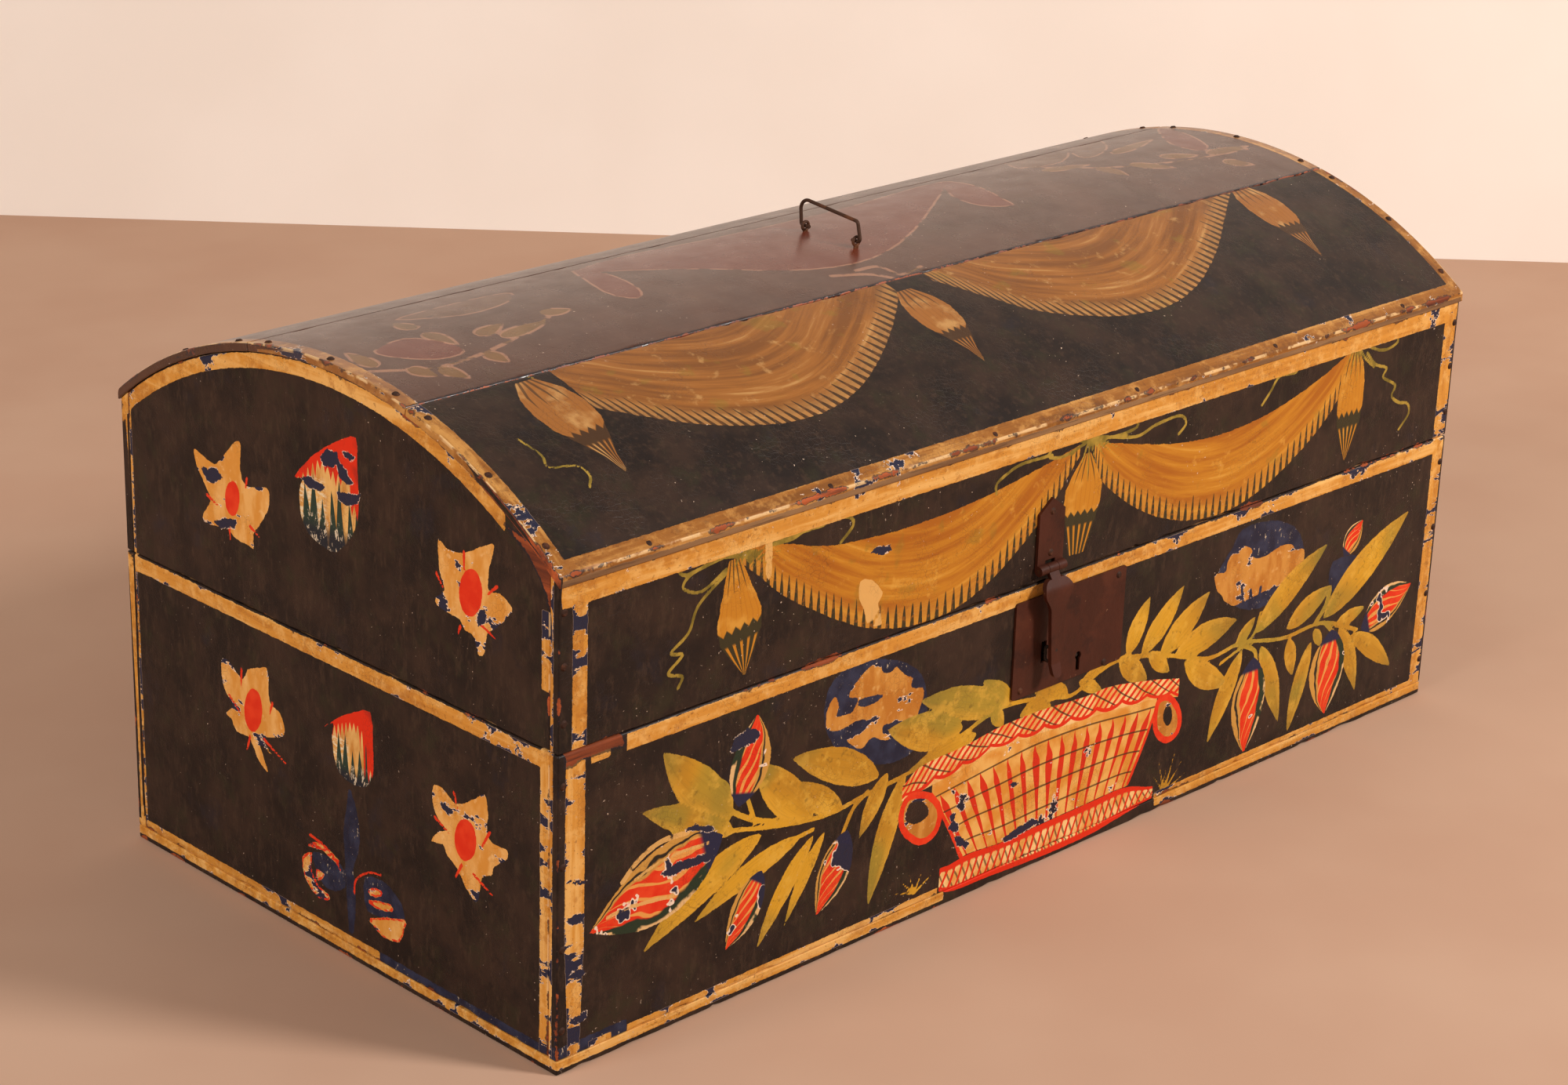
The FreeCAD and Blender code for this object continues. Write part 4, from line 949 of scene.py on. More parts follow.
def garland_marks(grid, at):
    """The garland on the box's front, as two layers: its leaves with their stems and tufts, and its buds."""
    leafage = [
        ((1040, 1042), (966, 972), 15, 3), ((1125, 990), (1013, 968), 13, -2), ((1078, 1032), (1013, 998), 10, 2),
        ((1232, 928), (1135, 932), 14, 2), ((1284, 900), (1178, 895), 12, -1), ((1296, 898), (1258, 868), 8, 0),
        ((1250, 935), (1160, 985), 9, 2), ((938, 1040), (850, 962), 17, 3), ((935, 1046), (888, 1000), 13, -6),
        ((940, 1062), (820, 1038), 12, -2), ((975, 1064), (820, 1217), 13, -6), ((1025, 1066), (884, 1180), 9, -5),
        ((1040, 1066), (965, 1212), 8, -3), ((1055, 1060), (1001, 1182), 6, -2), ((1158, 985), (1108, 1157), 10, -3),
        ((1136, 985), (1098, 1070), 8, -1), ((1338, 890), (1303, 914), 6, 0), ((1366, 888), (1345, 870), 5, 0),
        ((1358, 886), (1322, 880), 5, 1), ((1380, 868), (1410, 880), 5, 0), ((1385, 866), (1416, 848), 4, 0),
        ((1442, 836), (1472, 760), 8, 1), ((1460, 834), (1515, 746), 9, -1), ((1484, 834), (1548, 753), 10, -1),
        ((1502, 836), (1583, 788), 10, 2), ((1470, 832), (1496, 856), 6, 0), ((1515, 842), (1572, 870), 9, -3),
        ((1588, 828), (1543, 946), 8, -1), ((1432, 838), (1468, 866), 8, -1), ((1604, 806), (1698, 692), 10, 2),
        ((1645, 800), (1704, 744), 8, 1), ((1692, 786), (1801, 650), 12, 1), ((1580, 824), (1606, 784), 5, 0),
        ((1612, 822), (1634, 918), 8, 2), ((1648, 812), (1652, 860), 6, 0), ((1676, 816), (1645, 932), 7, -1),
        ((1712, 798), (1732, 877), 7, 3), ((1728, 806), (1778, 846), 7, 2), ((1706, 796), (1746, 770), 5, 0),
        ((1680, 800), (1690, 822), 4, 0), ((1345, 900), (1310, 905), 5, 0), ((1270, 905), (1284, 926), 6, 0),
    ]

    def blades(forms, swell, fullness):
        """Leaf or bud shapes. Widths and bows are in photo pixels, which span more of the board at its far end."""
        made = []
        for base, tip, width, bow in forms:
            scale = np.interp(base[0], *pixel_span)
            made.append(blade(grid, at, base, tip, width * scale * swell, bow * scale, fullness))
        return made

    stems = [([(862, 1062), (960, 1058), (1050, 1042), (1110, 1012), (1165, 984), (1220, 945), (1280, 903),
        (1330, 890), (1370, 886), (1404, 858), (1440, 838), (1500, 835), (1545, 838), (1588, 818), (1640, 812),
        (1690, 792), (1735, 800)], 1.1), ([(925, 1030), (960, 1045), (1010, 1050)], 1.3),
        ([(958, 1022), (966, 1050)], 1.2), ([(972, 1112), (1000, 1080), (1040, 1058)], 1.1),
        ([(1078, 1062), (1092, 1030), (1110, 1010)], 1.2), ([(1586, 820), (1604, 828), (1606, 845)], 1.3),
        ([(1694, 792), (1706, 806), (1705, 812)], 1.3), ([(1700, 752), (1694, 772), (1682, 792)], 1.6),
        ([(1560, 845), (1600, 812), (1612, 780)], 0.9)]
    stem = widest(*[stroke(grid, at(points), width * mm) for points, width in stems])
    tufts = [((1168, 1138), tip) for tip in ((1142, 1140), (1150, 1124), (1162, 1116), (1178, 1112), (1190, 1115))]
    tufts += [((1488, 1008), tip) for tip in ((1473, 985), (1482, 968), (1492, 960), (1504, 952), (1512, 966),
        (1518, 980))]
    grass = brushed(grid, at, tufts, (0.9 * mm, 0.2 * mm), 2)
    twigs = np.stack([np.maximum(stem, grass), 0.5 + 0 * stem, 0 * stem], -1)
    bud_places = [((925, 1066), (753, 1192), 33, 4), ((946, 1030), (972, 912), 22, -4),
        ((974, 1110), (926, 1212), 17, 2), ((1084, 1058), (1042, 1168), 18, 2), ((1603, 836), (1590, 957), 19, -1),
        ((1703, 800), (1693, 907), 20, -2), ((1740, 800), (1804, 741), 15, 2), ((1718, 708), (1742, 662), 10, 1)]
    return topmost(twigs, *blades(leafage, 1.25, 0.75)), topmost(*blades(bud_places, 1.1, 0.8))


def flower_marks(grid, at):
    """The round flowers on the box's front: their blue grounds, and their petals between dark spikes."""
    discs = [[(1120, 842), (1160, 846), (1183, 866), (1187, 905), (1180, 945), (1150, 970), (1112, 975), (1075, 960),
        (1056, 925), (1062, 880), (1088, 852)], [(1575, 700), (1590, 675), (1625, 664), (1655, 672), (1667, 700),
        (1660, 740), (1610, 775), (1575, 770), (1555, 740)],
        [(1704, 715), (1738, 708), (1738, 745), (1722, 757), (1700, 750)]]
    first_petals = with_holes(grid, at([(1128, 847), (1131.7, 859), (1141.7, 858), (1149, 851.7), (1160, 862.5),
        (1169, 865), (1166.7, 875.8), (1173, 878), (1183, 878), (1181.7, 891.7), (1178, 901.7), (1173, 916.7),
        (1160, 930), (1148, 939), (1133, 945), (1120, 941.7), (1111.7, 945), (1103, 956), (1091.7, 952.5),
        (1084, 944), (1093, 936.7), (1106.7, 930), (1111.7, 923), (1106.7, 919), (1095, 921.7), (1081.7, 930),
        (1065, 934), (1058, 928), (1059, 911.7), (1064, 896.7), (1070, 890), (1073, 894), (1075, 903), (1071.7, 915),
        (1081.7, 913), (1091.7, 909), (1095, 901.7), (1099, 891.7), (1087.5, 891.7), (1090, 881.7), (1096.7, 871.7),
        (1110, 856.7), (1120, 848)]), at([(1101.7, 893), (1131, 887), (1120, 897), (1102, 902.5)]),
        at([(1131, 936.7), (1130, 926.7), (1140, 923), (1148, 921.7), (1141.7, 930)]))
    second_petals = shape_within(grid, at([(1553, 734.7), (1558.6, 730.6), (1567, 729), (1569.7, 716.7),
        (1578, 702.8), (1587.8, 696.7), (1600, 699), (1601.7, 709.7), (1610, 711), (1621, 707), (1637.8, 695.8),
        (1651.7, 694), (1655.8, 700), (1667, 700), (1665.6, 719), (1654, 736), (1640.6, 747), (1618, 752.8),
        (1585, 769), (1576.7, 771.7), (1565.6, 766.7), (1562.8, 759.7), (1555.8, 752.8)]))
    spikes = [[(1588, 750), (1590, 773)], [(1599, 752), (1600, 776)], [(1612, 748), (1608, 769)]]
    petals = np.minimum(widest(first_petals, second_petals),
        -brushed(grid, at, spikes, (0.9 * mm, 0.4 * mm), 2))
    return filled(grid, at, discs), petals


def handle_marks(grid, at):
    """The basket's two ring handles: their vermilion rims, and the straw inside these."""
    rings = [([(1152, 1062), (1150, 1035), (1163, 1012), (1190, 1010), (1205, 1030), (1198, 1062), (1175, 1078)],
        [(1158, 1046), (1163, 1024), (1182, 1022), (1188, 1038), (1172, 1050)]),
        ([(1474, 920), (1480, 890), (1498, 884), (1511, 905), (1508, 932), (1492, 946), (1478, 938)],
        [(1487, 915), (1490, 900), (1498, 900), (1499, 916), (1493, 924)])]
    handles = [shape_within(grid, at(outer)) for outer, _ in rings]
    straw = [np.minimum(handle - 1.6 * mm, 0.3 * mm - shape_within(grid, at(inner))) for handle,
        (_, inner) in zip(handles, rings)]
    return [np.minimum(handle, 3.3 * mm - handle) for handle in handles], straw


def paint_box_front(a, h, d):
    """Bands, basket, garland, buds and two round flowers on the box's front."""
    z = bottom_thick + h
    grid = np.stack([a, z], -1)
    at = on_box_front
    top = np.minimum(strip(z, *box_top_band), np.maximum(a + 246 * mm, strip(a, -264 * mm, -254 * mm)))
    low = np.minimum(strip(z, *foot_band), np.maximum(a + 244 * mm, strip(a, -264 * mm, -252 * mm)))
    lost = 1.8 * mm * np.clip(1 - (z - 12 * mm) / (42 * mm), 0, 1)
    marks = banded(widest(top, low), widest(strip(a, -276.5 * mm, -266.5 * mm) - lost,
        strip(a, 270 * mm, 279.6 * mm) - 0.5 * mm))
    leaf, bud = garland_marks(grid, at)
    discs, petals = flower_marks(grid, at)
    rims, straw = handle_marks(grid, at)
    wall, laced, sides = basket_marks(grid, at)
    corner = np.minimum(12 * mm - z, -244 * mm - a)
    marks["band"] = np.minimum(marks["band"], -laced[..., 0] - 0.8 * mm)
    worn = shape_within(grid, at([(726, 956), (800, 938), (803, 953), (768, 963), (748, 971), (726, 984)]), 1)
    seam = stroke(grid, at([(790, 938), (880, 905), (1000, 858)]), (0.9 * mm, 0.6 * mm, 0.1 * mm), 3)
    chip = filled(grid, at, ([(1213, 1040), (1223, 1035), (1220, 1046), (1227, 1052), (1222, 1063), (1213, 1055),
        (1217, 1048)], [(1219, 1064), (1230, 1066), (1239, 1074), (1234, 1081), (1222, 1077)],
        [(1280, 1069), (1298, 1055), (1322, 1042), (1328, 1046), (1306, 1062), (1286, 1072)],
        [(1289, 1001), (1296, 995), (1304, 996), (1297, 1002)],
        [(1410, 1051), (1425, 1042), (1442, 1040), (1430, 1048)],
        [(845, 1115), (868, 1101), (898, 1090), (915, 1089), (904, 1100), (878, 1109), (855, 1119)],
        [(873, 1062), (888, 1052), (908, 1053), (921, 1062), (898, 1061)],
        [(934, 962), (942, 944), (957, 931), (970, 931), (975, 938), (966, 949), (948, 958)],
        [(724, 1128), (738, 1122), (752, 1126), (740, 1131)],
        [(722, 1176), (735, 1168), (750, 1166), (744, 1176), (730, 1184)],
        [(722, 1250), (736, 1238), (750, 1240), (740, 1250)],
        [(722, 1304), (738, 1296), (748, 1290), (746, 1302), (732, 1312)]), 1)
    fine = [([(796, 1127), (817, 1099), (846, 1075), (880, 1063)], 1.3),
        ([(812, 1124), (836, 1106), (866, 1090), (906, 1076)], 0.8),
        ([(776, 1172), (800, 1160), (830, 1151), (860, 1143)], 1.0)]
    lines = widest(*[stroke(grid, at(points), width * mm) for points, width in fine])
    marks["wear"] = np.where(a < worn_corner_on_front, corner_wear(z), 0)
    marks.update(leaf=leaf, bud=bud, blue=widest(corner, discs), cream=widest(petals, *straw), wall=wall,
        lattice=laced, red=widest(*rims, *sides), bare=np.maximum(worn, seam), chip=chip, line=lines)
    return marks


def paint_front_rail(a, h, d):
    """Bands, two fringed swags, three tassels and their ribbons on the lid's front rail."""
    z = lid_foot + h
    grid = np.stack([a, z], -1)
    at = on_rail
    marks = banded(strip(z, 191.8 * mm, 202.6 * mm), widest(strip(a, -273.5 * mm, -266 * mm),
        strip(a, 269.5 * mm, 279.6 * mm)))
    swags = topmost(swag(grid, at, [(930, 704), (985, 696), (1050, 698), (1105, 688), (1160, 672), (1240, 640),
        (1320, 598), (1374, 566)], [(930, 712), (968, 738), (1000, 762), (1040, 780), (1075, 793), (1110, 801),
        (1150, 800), (1190, 790), (1230, 768), (1270, 733), (1310, 685), (1340, 642), (1374, 580)]),
        swag(grid, at, [(1390, 562), (1440, 564), (1500, 562), (1560, 548), (1620, 520), (1680, 478), (1722, 440)],
        [(1390, 572), (1402, 610), (1430, 634), (1460, 650), (1490, 658), (1520, 659), (1560, 650), (1600, 626),
        (1640, 590), (1680, 543), (1706, 500), (1722, 450)]))
    tassels = topmost(
        tassel(grid, at, (936, 716), (952, 862), (3, 6, 9, 12, 11, 6, 0.4)),
        tassel(grid, at, (1384, 576), (1373, 704), (2, 7.5, 12, 12, 10, 7.5, 5)),
        tassel(grid, at, (1725, 436), (1716, 580), (2, 7.5, 9.6, 10, 9, 5, 0.4)))
    bows = [[(926, 706), (895, 708), (868, 726), (872, 738), (900, 726), (926, 710)],
        [(928, 712), (884, 735), (872, 754), (895, 758), (926, 730)],
        [(926, 735), (892, 775), (880, 810), (858, 836), (873, 838), (855, 862), (873, 865), (868, 880)],
        [(975, 700), (1010, 690), (1040, 668), (1078, 662), (1086, 672), (1070, 695)],
        [(985, 697), (1015, 684), (1050, 672)], [(1378, 560), (1345, 566), (1334, 582), (1352, 582), (1380, 565)],
        [(1338, 580), (1300, 592), (1282, 604), (1268, 618), (1268, 630)],
        [(1386, 553), (1420, 540), (1442, 534), (1446, 543), (1420, 555), (1390, 560)],
        [(1400, 556), (1445, 555), (1470, 540), (1500, 528), (1509, 537), (1500, 551)],
        [(1722, 424), (1702, 417), (1690, 430), (1706, 436), (1726, 430)],
        [(1730, 430), (1746, 419), (1770, 418), (1779, 430), (1760, 441), (1735, 434)],
        [(1716, 446), (1684, 452), (1658, 456), (1648, 471), (1628, 476), (1617, 495), (1606, 513)],
        [(1740, 445), (1752, 459), (1766, 463), (1762, 475), (1778, 484), (1774, 498), (1784, 506), (1795, 507),
        (1797, 520), (1785, 540)], [(1730, 438), (1738, 452), (1750, 462)]]
    knots = [[(918, 708), (950, 706)], [(1378, 556), (1396, 556)], [(1718, 432), (1738, 430)]]
    fans = [[(945, 706), tip] for tip in ((1000, 706), (1004, 718), (996, 730), (980, 738), (964, 734), (948, 742),
        (932, 738))]
    fans += [[(1386, 556), tip] for tip in ((1372, 604), (1384, 612), (1398, 606), (1420, 598), (1432, 586),
        (1440, 574), (1352, 592))]
    fans += [[(1728, 432), tip] for tip in ((1706, 476), (1716, 486), (1728, 482), (1738, 478))]
    pale = [[(975, 682), (983, 682), (984, 736), (976, 736)],
        [(1097, 742), (1112, 740), (1127, 756), (1121, 770), (1127, 796), (1108, 797), (1103, 778), (1096, 764)]]
    marks["wear"] = np.where(a < worn_corner_on_front, 0.7, 0)
    marks.update(swag=swags, tassel=tassels, chip=shape_within(grid,
        at([(1107, 707), (1117, 698), (1134, 696), (1137, 703), (1122, 709)]), 1), line=filled(grid, at, pale, 2),
        ribbon=widest(brushed(grid, at, bows, 0.85 * mm), brushed(grid, at, knots, 3 * mm),
        brushed(grid, at, fans, (0.9 * mm, 0.2 * mm), 2)))
    return marks


def tulip_marks(grid, at, outline, crown, foot, half_width):
    """A tulip's body, as (inside, down, side): within its outline, about the line from its crown to its foot."""
    top, low = at(crown)[0], at(foot)[0]
    step = low - top
    length = np.hypot(*step)
    p = grid - top
    return np.stack([shape_within(grid, at(outline), 2), (p @ step) / length**2,
        (p @ np.array([-step[1], step[0]])) / length / half_width], -1)


def star_marks(grid, box, lid):
    """The star flowers of both ends, as their petals and their vermilion: leaning oval hearts and short ticks."""
    stars = [(lid, [(246, 569), (256, 576), (273, 588), (287, 573), (299, 560), (305, 565), (304, 595), (312, 616),
        (336, 617), (341, 628), (338, 649), (325, 670), (320, 678), (321, 695), (315, 691), (298, 682), (288, 669),
        (275, 666), (259, 661), (257, 649), (267, 634), (262, 620), (255, 603), (249, 588)], (294, 631), 4.9, 8.0),
        (lid, [(552, 682), (563, 695), (584, 701), (602, 695), (621, 689), (622, 700), (618, 720), (617, 748),
        (632, 753), (648, 771), (644, 783), (627, 799), (617, 806), (616, 829), (607, 832), (601, 809), (589, 800),
        (582, 786), (571, 780), (553, 768), (551, 757), (562, 748), (555, 724)], (595, 752), 6.6, 10.2),
        (box, [(283, 837), (294, 843), (310, 866), (317, 852), (333, 850), (340, 848), (344, 860), (344, 884),
        (348, 900), (358, 908), (365, 933), (358, 942), (338, 942), (344, 958), (350, 968), (332, 950), (345, 990),
        (330, 970), (319, 942), (302, 934), (296, 918), (288, 909), (298, 900), (288, 882), (283, 860)], (324, 906),
        6.0, 10.4), (box, [(555, 1002), (567, 1007), (582, 1026), (600, 1024), (615, 1015), (622, 1018), (624, 1040),
        (623, 1063), (630, 1078), (648, 1086), (648, 1098), (631, 1109), (629, 1119), (616, 1122), (612, 1146),
        (607, 1154), (595, 1136), (584, 1110), (571, 1093), (566, 1080), (550, 1076), (562, 1062), (572, 1062),
        (560, 1046), (553, 1022)], (595, 1074), 6.4, 9.4)]
    petals, hearts = [], []
    lean = math.radians(14)
    for at, outline, heart, wide, tall in stars:
        petals.append(shape_within(grid, at(outline), 2))
        v, w = (grid - at(heart)[0]).transpose(2, 0, 1)
        hearts.append((1 - np.hypot((v * math.cos(lean) + w * math.sin(lean)) / (wide * mm),
            (w * math.cos(lean) - v * math.sin(lean)) / (tall * mm))) * wide * mm)
    lid_ticks = [[(585, 700), (586, 722)], [(551, 726), (560, 745)], [(628, 744), (617, 754)],
        [(606, 790), (628, 811)], [(583, 795), (581, 804)], [(312, 606), (311, 618)], [(262, 626), (276, 640)],
        [(316, 666), (328, 680)], [(290, 666), (291, 683)]]
    box_ticks = [[(309, 852), (308, 876)], [(293, 886), (309, 912)], [(349, 896), (345, 912)],
        [(338, 944), (366, 976)], [(320, 940), (316, 958)], [(581, 1012), (585, 1034)], [(556, 1044), (575, 1066)],
        [(626, 1064), (616, 1082)], [(605, 1118), (630, 1147)], [(590, 1106), (582, 1122)],
        [(396.7, 1068), (420, 1086.7), (436.7, 1116.7)], [(453, 1143), (455, 1126.7), (470, 1116.7), (488, 1120)]]
    for at, ticks in ((lid, lid_ticks), (box, box_ticks)):
        hearts += [stroke(grid, at(points), (0.9 * mm, *[0.6 * mm] * (len(points) - 1)), 3) for points in ticks]
    return petals, hearts


def curled_leaf_marks(grid, at):
    """The tulip's blue stalk with its leaves, and the curled cream shapes on them."""
    curls = [[(386.7, 1096.7), (390, 1123), (406.7, 1150), (421.7, 1153), (420, 1145), (406.7, 1133), (398, 1110),
        (400, 1090)], [(403, 1111.7), (416.7, 1120), (406.7, 1128)],
        [(393, 1084), (400, 1077), (413, 1081), (434, 1101), (430, 1106), (412, 1088)],
        [(471.7, 1136.7), (486.7, 1138), (488, 1148), (473, 1146.7)],
        [(470, 1151.7), (498, 1156.7), (501.7, 1168), (480, 1163)],
        [(473, 1175), (516.7, 1176.7), (516.7, 1190), (510, 1206.7), (490, 1200), (478, 1186.7)]]
    pads = [[(400, 1090), (436.7, 1106.7), (441.7, 1136.7), (423, 1140), (410, 1126.7)],
        [(466.7, 1123), (493, 1130), (513, 1156.7), (516.7, 1180), (503, 1176.7), (470, 1166.7)]]
    stalks = [stroke(grid, at([(448, 1012), (450, 1038), (450, 1070), (447, 1110)]),
        (1.2 * mm, 3.6 * mm, 5.4 * mm, 2.5 * mm)), stroke(grid, at([(446, 1100), (449, 1150), (449, 1192)]),
        (2.6 * mm, 3.0 * mm, 1.6 * mm))]
    rolled = [shape_within(grid, at(points), 2) for points in curls]
    return widest(*stalks, filled(grid, at, pads)), rolled


def paint_end(y, z):
    """Star flowers, a tulip with a blue stalk and curled leaves on one end of box and lid."""
    grid = np.stack([y, z], -1)
    box, lid = on_box_end, on_lid_end
    petals, red = star_marks(grid, box, lid)
    blue, rolled = curled_leaf_marks(grid, box)
    crowns = [(lid, [(370, 606), (390, 582), (410, 568), (430, 559), (448, 556), (450, 590), (451, 640), (446, 640),
        (444, 610), (430, 604), (415, 596), (403, 584), (390, 592), (380, 603)]),
        (box, [(410, 930), (430, 917), (453, 908), (475, 908), (478, 950), (478, 985), (474, 985), (470, 955),
        (462, 930), (450, 922), (432, 924), (424, 928)])]
    tulips = topmost(tulip_marks(grid, lid, [(448, 556), (450, 590), (453, 652), (448, 672), (440, 686), (426, 700),
        (410, 694), (390, 676), (380, 652), (378, 620), (382, 606), (370, 606), (390, 582), (410, 568), (430, 559)],
        (418, 557), (424, 700), 14 * mm), tulip_marks(grid, box,
        [(475, 908), (478, 950), (478, 990), (467, 1007), (443, 997), (430, 977), (425, 940), (427, 923), (410, 930),
        (430, 917), (453, 908)], (453, 908), (455, 1007), 11 * mm))
    worn = shape_within(grid, lid([(636, 666), (660, 684), (707, 742), (702, 795), (688, 748), (668, 706)]), 1)
    chips = [[(403, 580), (412, 571), (425, 575), (428, 587), (420, 593), (408, 591)],
        [(431, 573), (440, 575), (449, 582), (442, 585), (433, 580)],
        [(424, 587), (432, 590), (437, 600), (445, 613), (438, 616), (427, 605)],
        [(379, 604), (392, 605), (410, 617), (405, 623), (387, 618)],
        [(424, 623), (440, 626), (454, 628), (451, 640), (436, 640), (427, 633)],
        [(253, 590), (262, 593), (275, 593), (281, 604), (270, 613), (261, 607)],
        [(270, 660), (284, 654), (300, 660), (296, 668), (280, 668)],
        [(603, 778), (614, 772), (616, 790), (606, 796)]]
    return {"cream": widest(*petals, *rolled), "red": widest(*red,
        *[np.minimum(curl, 1.2 * mm - curl) for curl in rolled]), "tulip": tulips, "blue": blue, "bare": worn,
        "crown": widest(*[shape_within(grid, at(points), 2) for at, points in crowns]),
        "chip": filled(grid, lid, chips, 1),
        "wear": np.where((y < worn_corner_on_end) & (z < lid_foot), corner_wear(z), 0)}


def paint_box_end(a, h, d):
    """The marks of a box end, seen from outside with its front edge at the low end of the first measure."""
    z = bottom_thick + h
    marks = paint_end(a, z)
    foot = strip(z, 3 * mm, 10.6 * mm)
    blue_from = -30 * mm
    marks.update(banded(widest(strip(z, *box_top_band), np.minimum(foot, a - blue_from)),
        widest(strip(a, *end_front_band), strip(a, *end_back_band))))
    marks["blue"] = np.maximum(marks["blue"], np.minimum(foot, blue_from - a))
    return marks


lid_end_height = roof_axis + roof_inner - lid_foot
# The roof boards' edges that meet at a seam are less worn: they count as this much further in.
calm_seam = 1.4 * mm


def under_roof(y):
    """The height of the roof's underside, an arc about the roof's axis, at a distance from the chest's middle."""
    return roof_axis + np.sqrt(roof_inner**2 - y**2)


def paint_lid_end(a, h, d):
    """The marks of a lid end, seen as a box end is, with a band under its arch."""
    z = lid_foot + h / lid_end_height * (under_roof(a) - lid_foot)
    arch = np.minimum(strip(np.hypot(a, z - roof_axis), roof_inner - 6.8 * mm, roof_inner - 0.5 * mm), a + 108 * mm)
    return {**paint_end(a, z), **banded(arch, widest(np.minimum(strip(a, -134 * mm, -128.4 * mm),
        strip(z, 158 * mm, 190 * mm)), strip(a, *end_back_band)))}


def roof_marks(lower_angle, with_eave=0, forms=None):
    """A roof board's bands and forms. with_eave is -1 on the board that ends in the front eave and 1 on the one that
    ends in the back eave. At the chest's left end the roof's edge is dark at the back, ochre in the middle and bare
    wood in front."""

    def paint(a, h, d):
        arc = lower_angle * roof_outer + h
        level = strip(with_eave * arc, eave_angle * roof_outer - 6.6 * mm,
            eave_angle * roof_outer + 9 * mm) if with_eave else 0 * a + nothing
        marks = banded(level, widest(*[strip(a, *ends) for ends in roof_end_bands]))
        end_face = (a < -roof_half_length + end_grain_depth) & (d > 0.35 * mm)
        bare_to, ochre_to = -100 * mm, 45 * mm
        marks["band"] = np.where(end_face, np.minimum(strip(arc, bare_to, ochre_to), 0.8 * mm), marks["band"])
        seam_line = nothing if with_eave else 0.3 * mm - h
        marks["bare"] = np.where(end_face, np.minimum(bare_to - arc, 2 * mm), seam_line)
        low, high = h + calm_seam * (with_eave != -1), h.max() - h + calm_seam * (with_eave != 1)
        marks["rim"] = np.maximum(np.minimum(np.minimum(low, high), roof_half_length - np.abs(a)), d)
        if forms:
            marks.update(forms(np.stack([a, arc], -1)))
        return marks

    return paint


def roof_front_forms(grid):
    """Two fringed swags and three tassels on the roof's front board."""
    at = on_roof
    drapes = topmost(swag(grid, at, [(668, 452), (760, 440), (900, 408), (1000, 380), (1080, 360), (1150, 346)],
        [(690, 494), (730, 510), (760, 520), (820, 531), (880, 540), (950, 543), (1010, 538), (1060, 522),
        (1100, 492), (1125, 452), (1140, 412), (1148, 374)], 0.5),
        swag(grid, at, [(1150, 352), (1250, 322), (1350, 294), (1450, 266), (1530, 228), (1572, 216)],
        [(1190, 358), (1225, 368), (1260, 379), (1320, 396), (1390, 403), (1450, 401), (1500, 386), (1532, 358),
        (1552, 320), (1562, 280), (1570, 244)], 0.5))
    ends = topmost(
        tassel(grid, at, (668, 486), (802, 604), (5, 11.5, 13.5, 12.5, 8.0, 3.0, 0.3)),
        tassel(grid, at, (1152, 370), (1258, 462), (4.5, 10, 12, 11, 7.0, 2.6, 0.3)),
        tassel(grid, at, (1576, 238), (1688, 328), (4.5, 10, 12, 11, 7.0, 2.6, 0.3)))
    trails = [[(660, 560), (690, 580), (700, 596), (735, 594), (752, 606), (752, 622)],
        [(640, 486), (655, 478), (680, 482)]]
    return {"swag": drapes, "tassel": ends, "ribbon": brushed(grid, at, trails, 0.7 * mm)}


def roof_middle_forms(grid):
    """The faded forms of the middle board: a reddish swag with its tassels, two sprays and two pale flowers."""
    at = on_roof
    rose = [[(735, 347), (790, 328), (900, 306), (1000, 284), (1090, 262), (1200, 232), (1190, 262), (1150, 308),
        (1090, 336), (1000, 345), (900, 343), (800, 345)],
        [(730, 346), (760, 346), (812, 366), (814, 380), (770, 372)],
        [(1200, 232), (1240, 236), (1280, 254), (1292, 262), (1250, 262), (1215, 250)],
        [(478, 448), (515, 432), (565, 436), (592, 448), (560, 458), (505, 456)],
        [(1478, 164), (1505, 168), (1540, 186), (1530, 192), (1500, 186), (1484, 176)]]
    pale = [[(505, 408), (560, 392), (620, 378), (652, 374), (646, 386), (590, 402)],
        [(1272, 204), (1310, 190), (1356, 182), (1362, 200), (1330, 212), (1296, 214)],
        [(1362, 188), (1390, 178), (1412, 186), (1400, 198), (1376, 200)]]
    sprigs = [((480, 468), (440, 450)), ((520, 470), (560, 480)), ((560, 470), (600, 482)), ((540, 425), (585, 440)),
        ((620, 450), (650, 462)), ((640, 430), (700, 408)), ((690, 400), (730, 394)), ((610, 428), (640, 412)),
        ((530, 420), (500, 412)), ((1420, 196), (1470, 178)), ((1440, 210), (1500, 214)), ((1480, 200), (1530, 198)),
        ((1540, 196), (1592, 186)), ((1400, 214), (1440, 224)), ((1330, 218), (1390, 210)),
        ((1560, 206), (1600, 210))]
    tendrils = [[(470, 474), (560, 468), (640, 440), (700, 404)],
        [(1300, 214), (1400, 214), (1500, 206), (1590, 190)], [(1092, 345), (1120, 340), (1150, 350), (1175, 340)],
        [(1060, 352), (1110, 350), (1145, 356)]]
    twig = brushed(grid, at, tendrils, 0.6 * mm)
    leaf = topmost(np.stack([twig, 0.5 + 0 * twig, 0.5 + 0 * twig], -1),
        *[blade(grid, at, base, tip, 4.2 * mm) for base, tip in sprigs])
    return {"leaf": leaf, "cream": filled(grid, at, pale), "red": filled(grid, at, rose)}


def paint_plain(z_low, level_bands):
    """Level bands and the two upright ones of a board with no ornament."""

    def paint(a, h, d):
        return banded(widest(*[strip(z_low + h, *band) for band in level_bands]),
            widest(strip(a, -277 * mm, -269 * mm), strip(a, 269 * mm, 277 * mm)))

    return paint


# How each board lies in the chest.


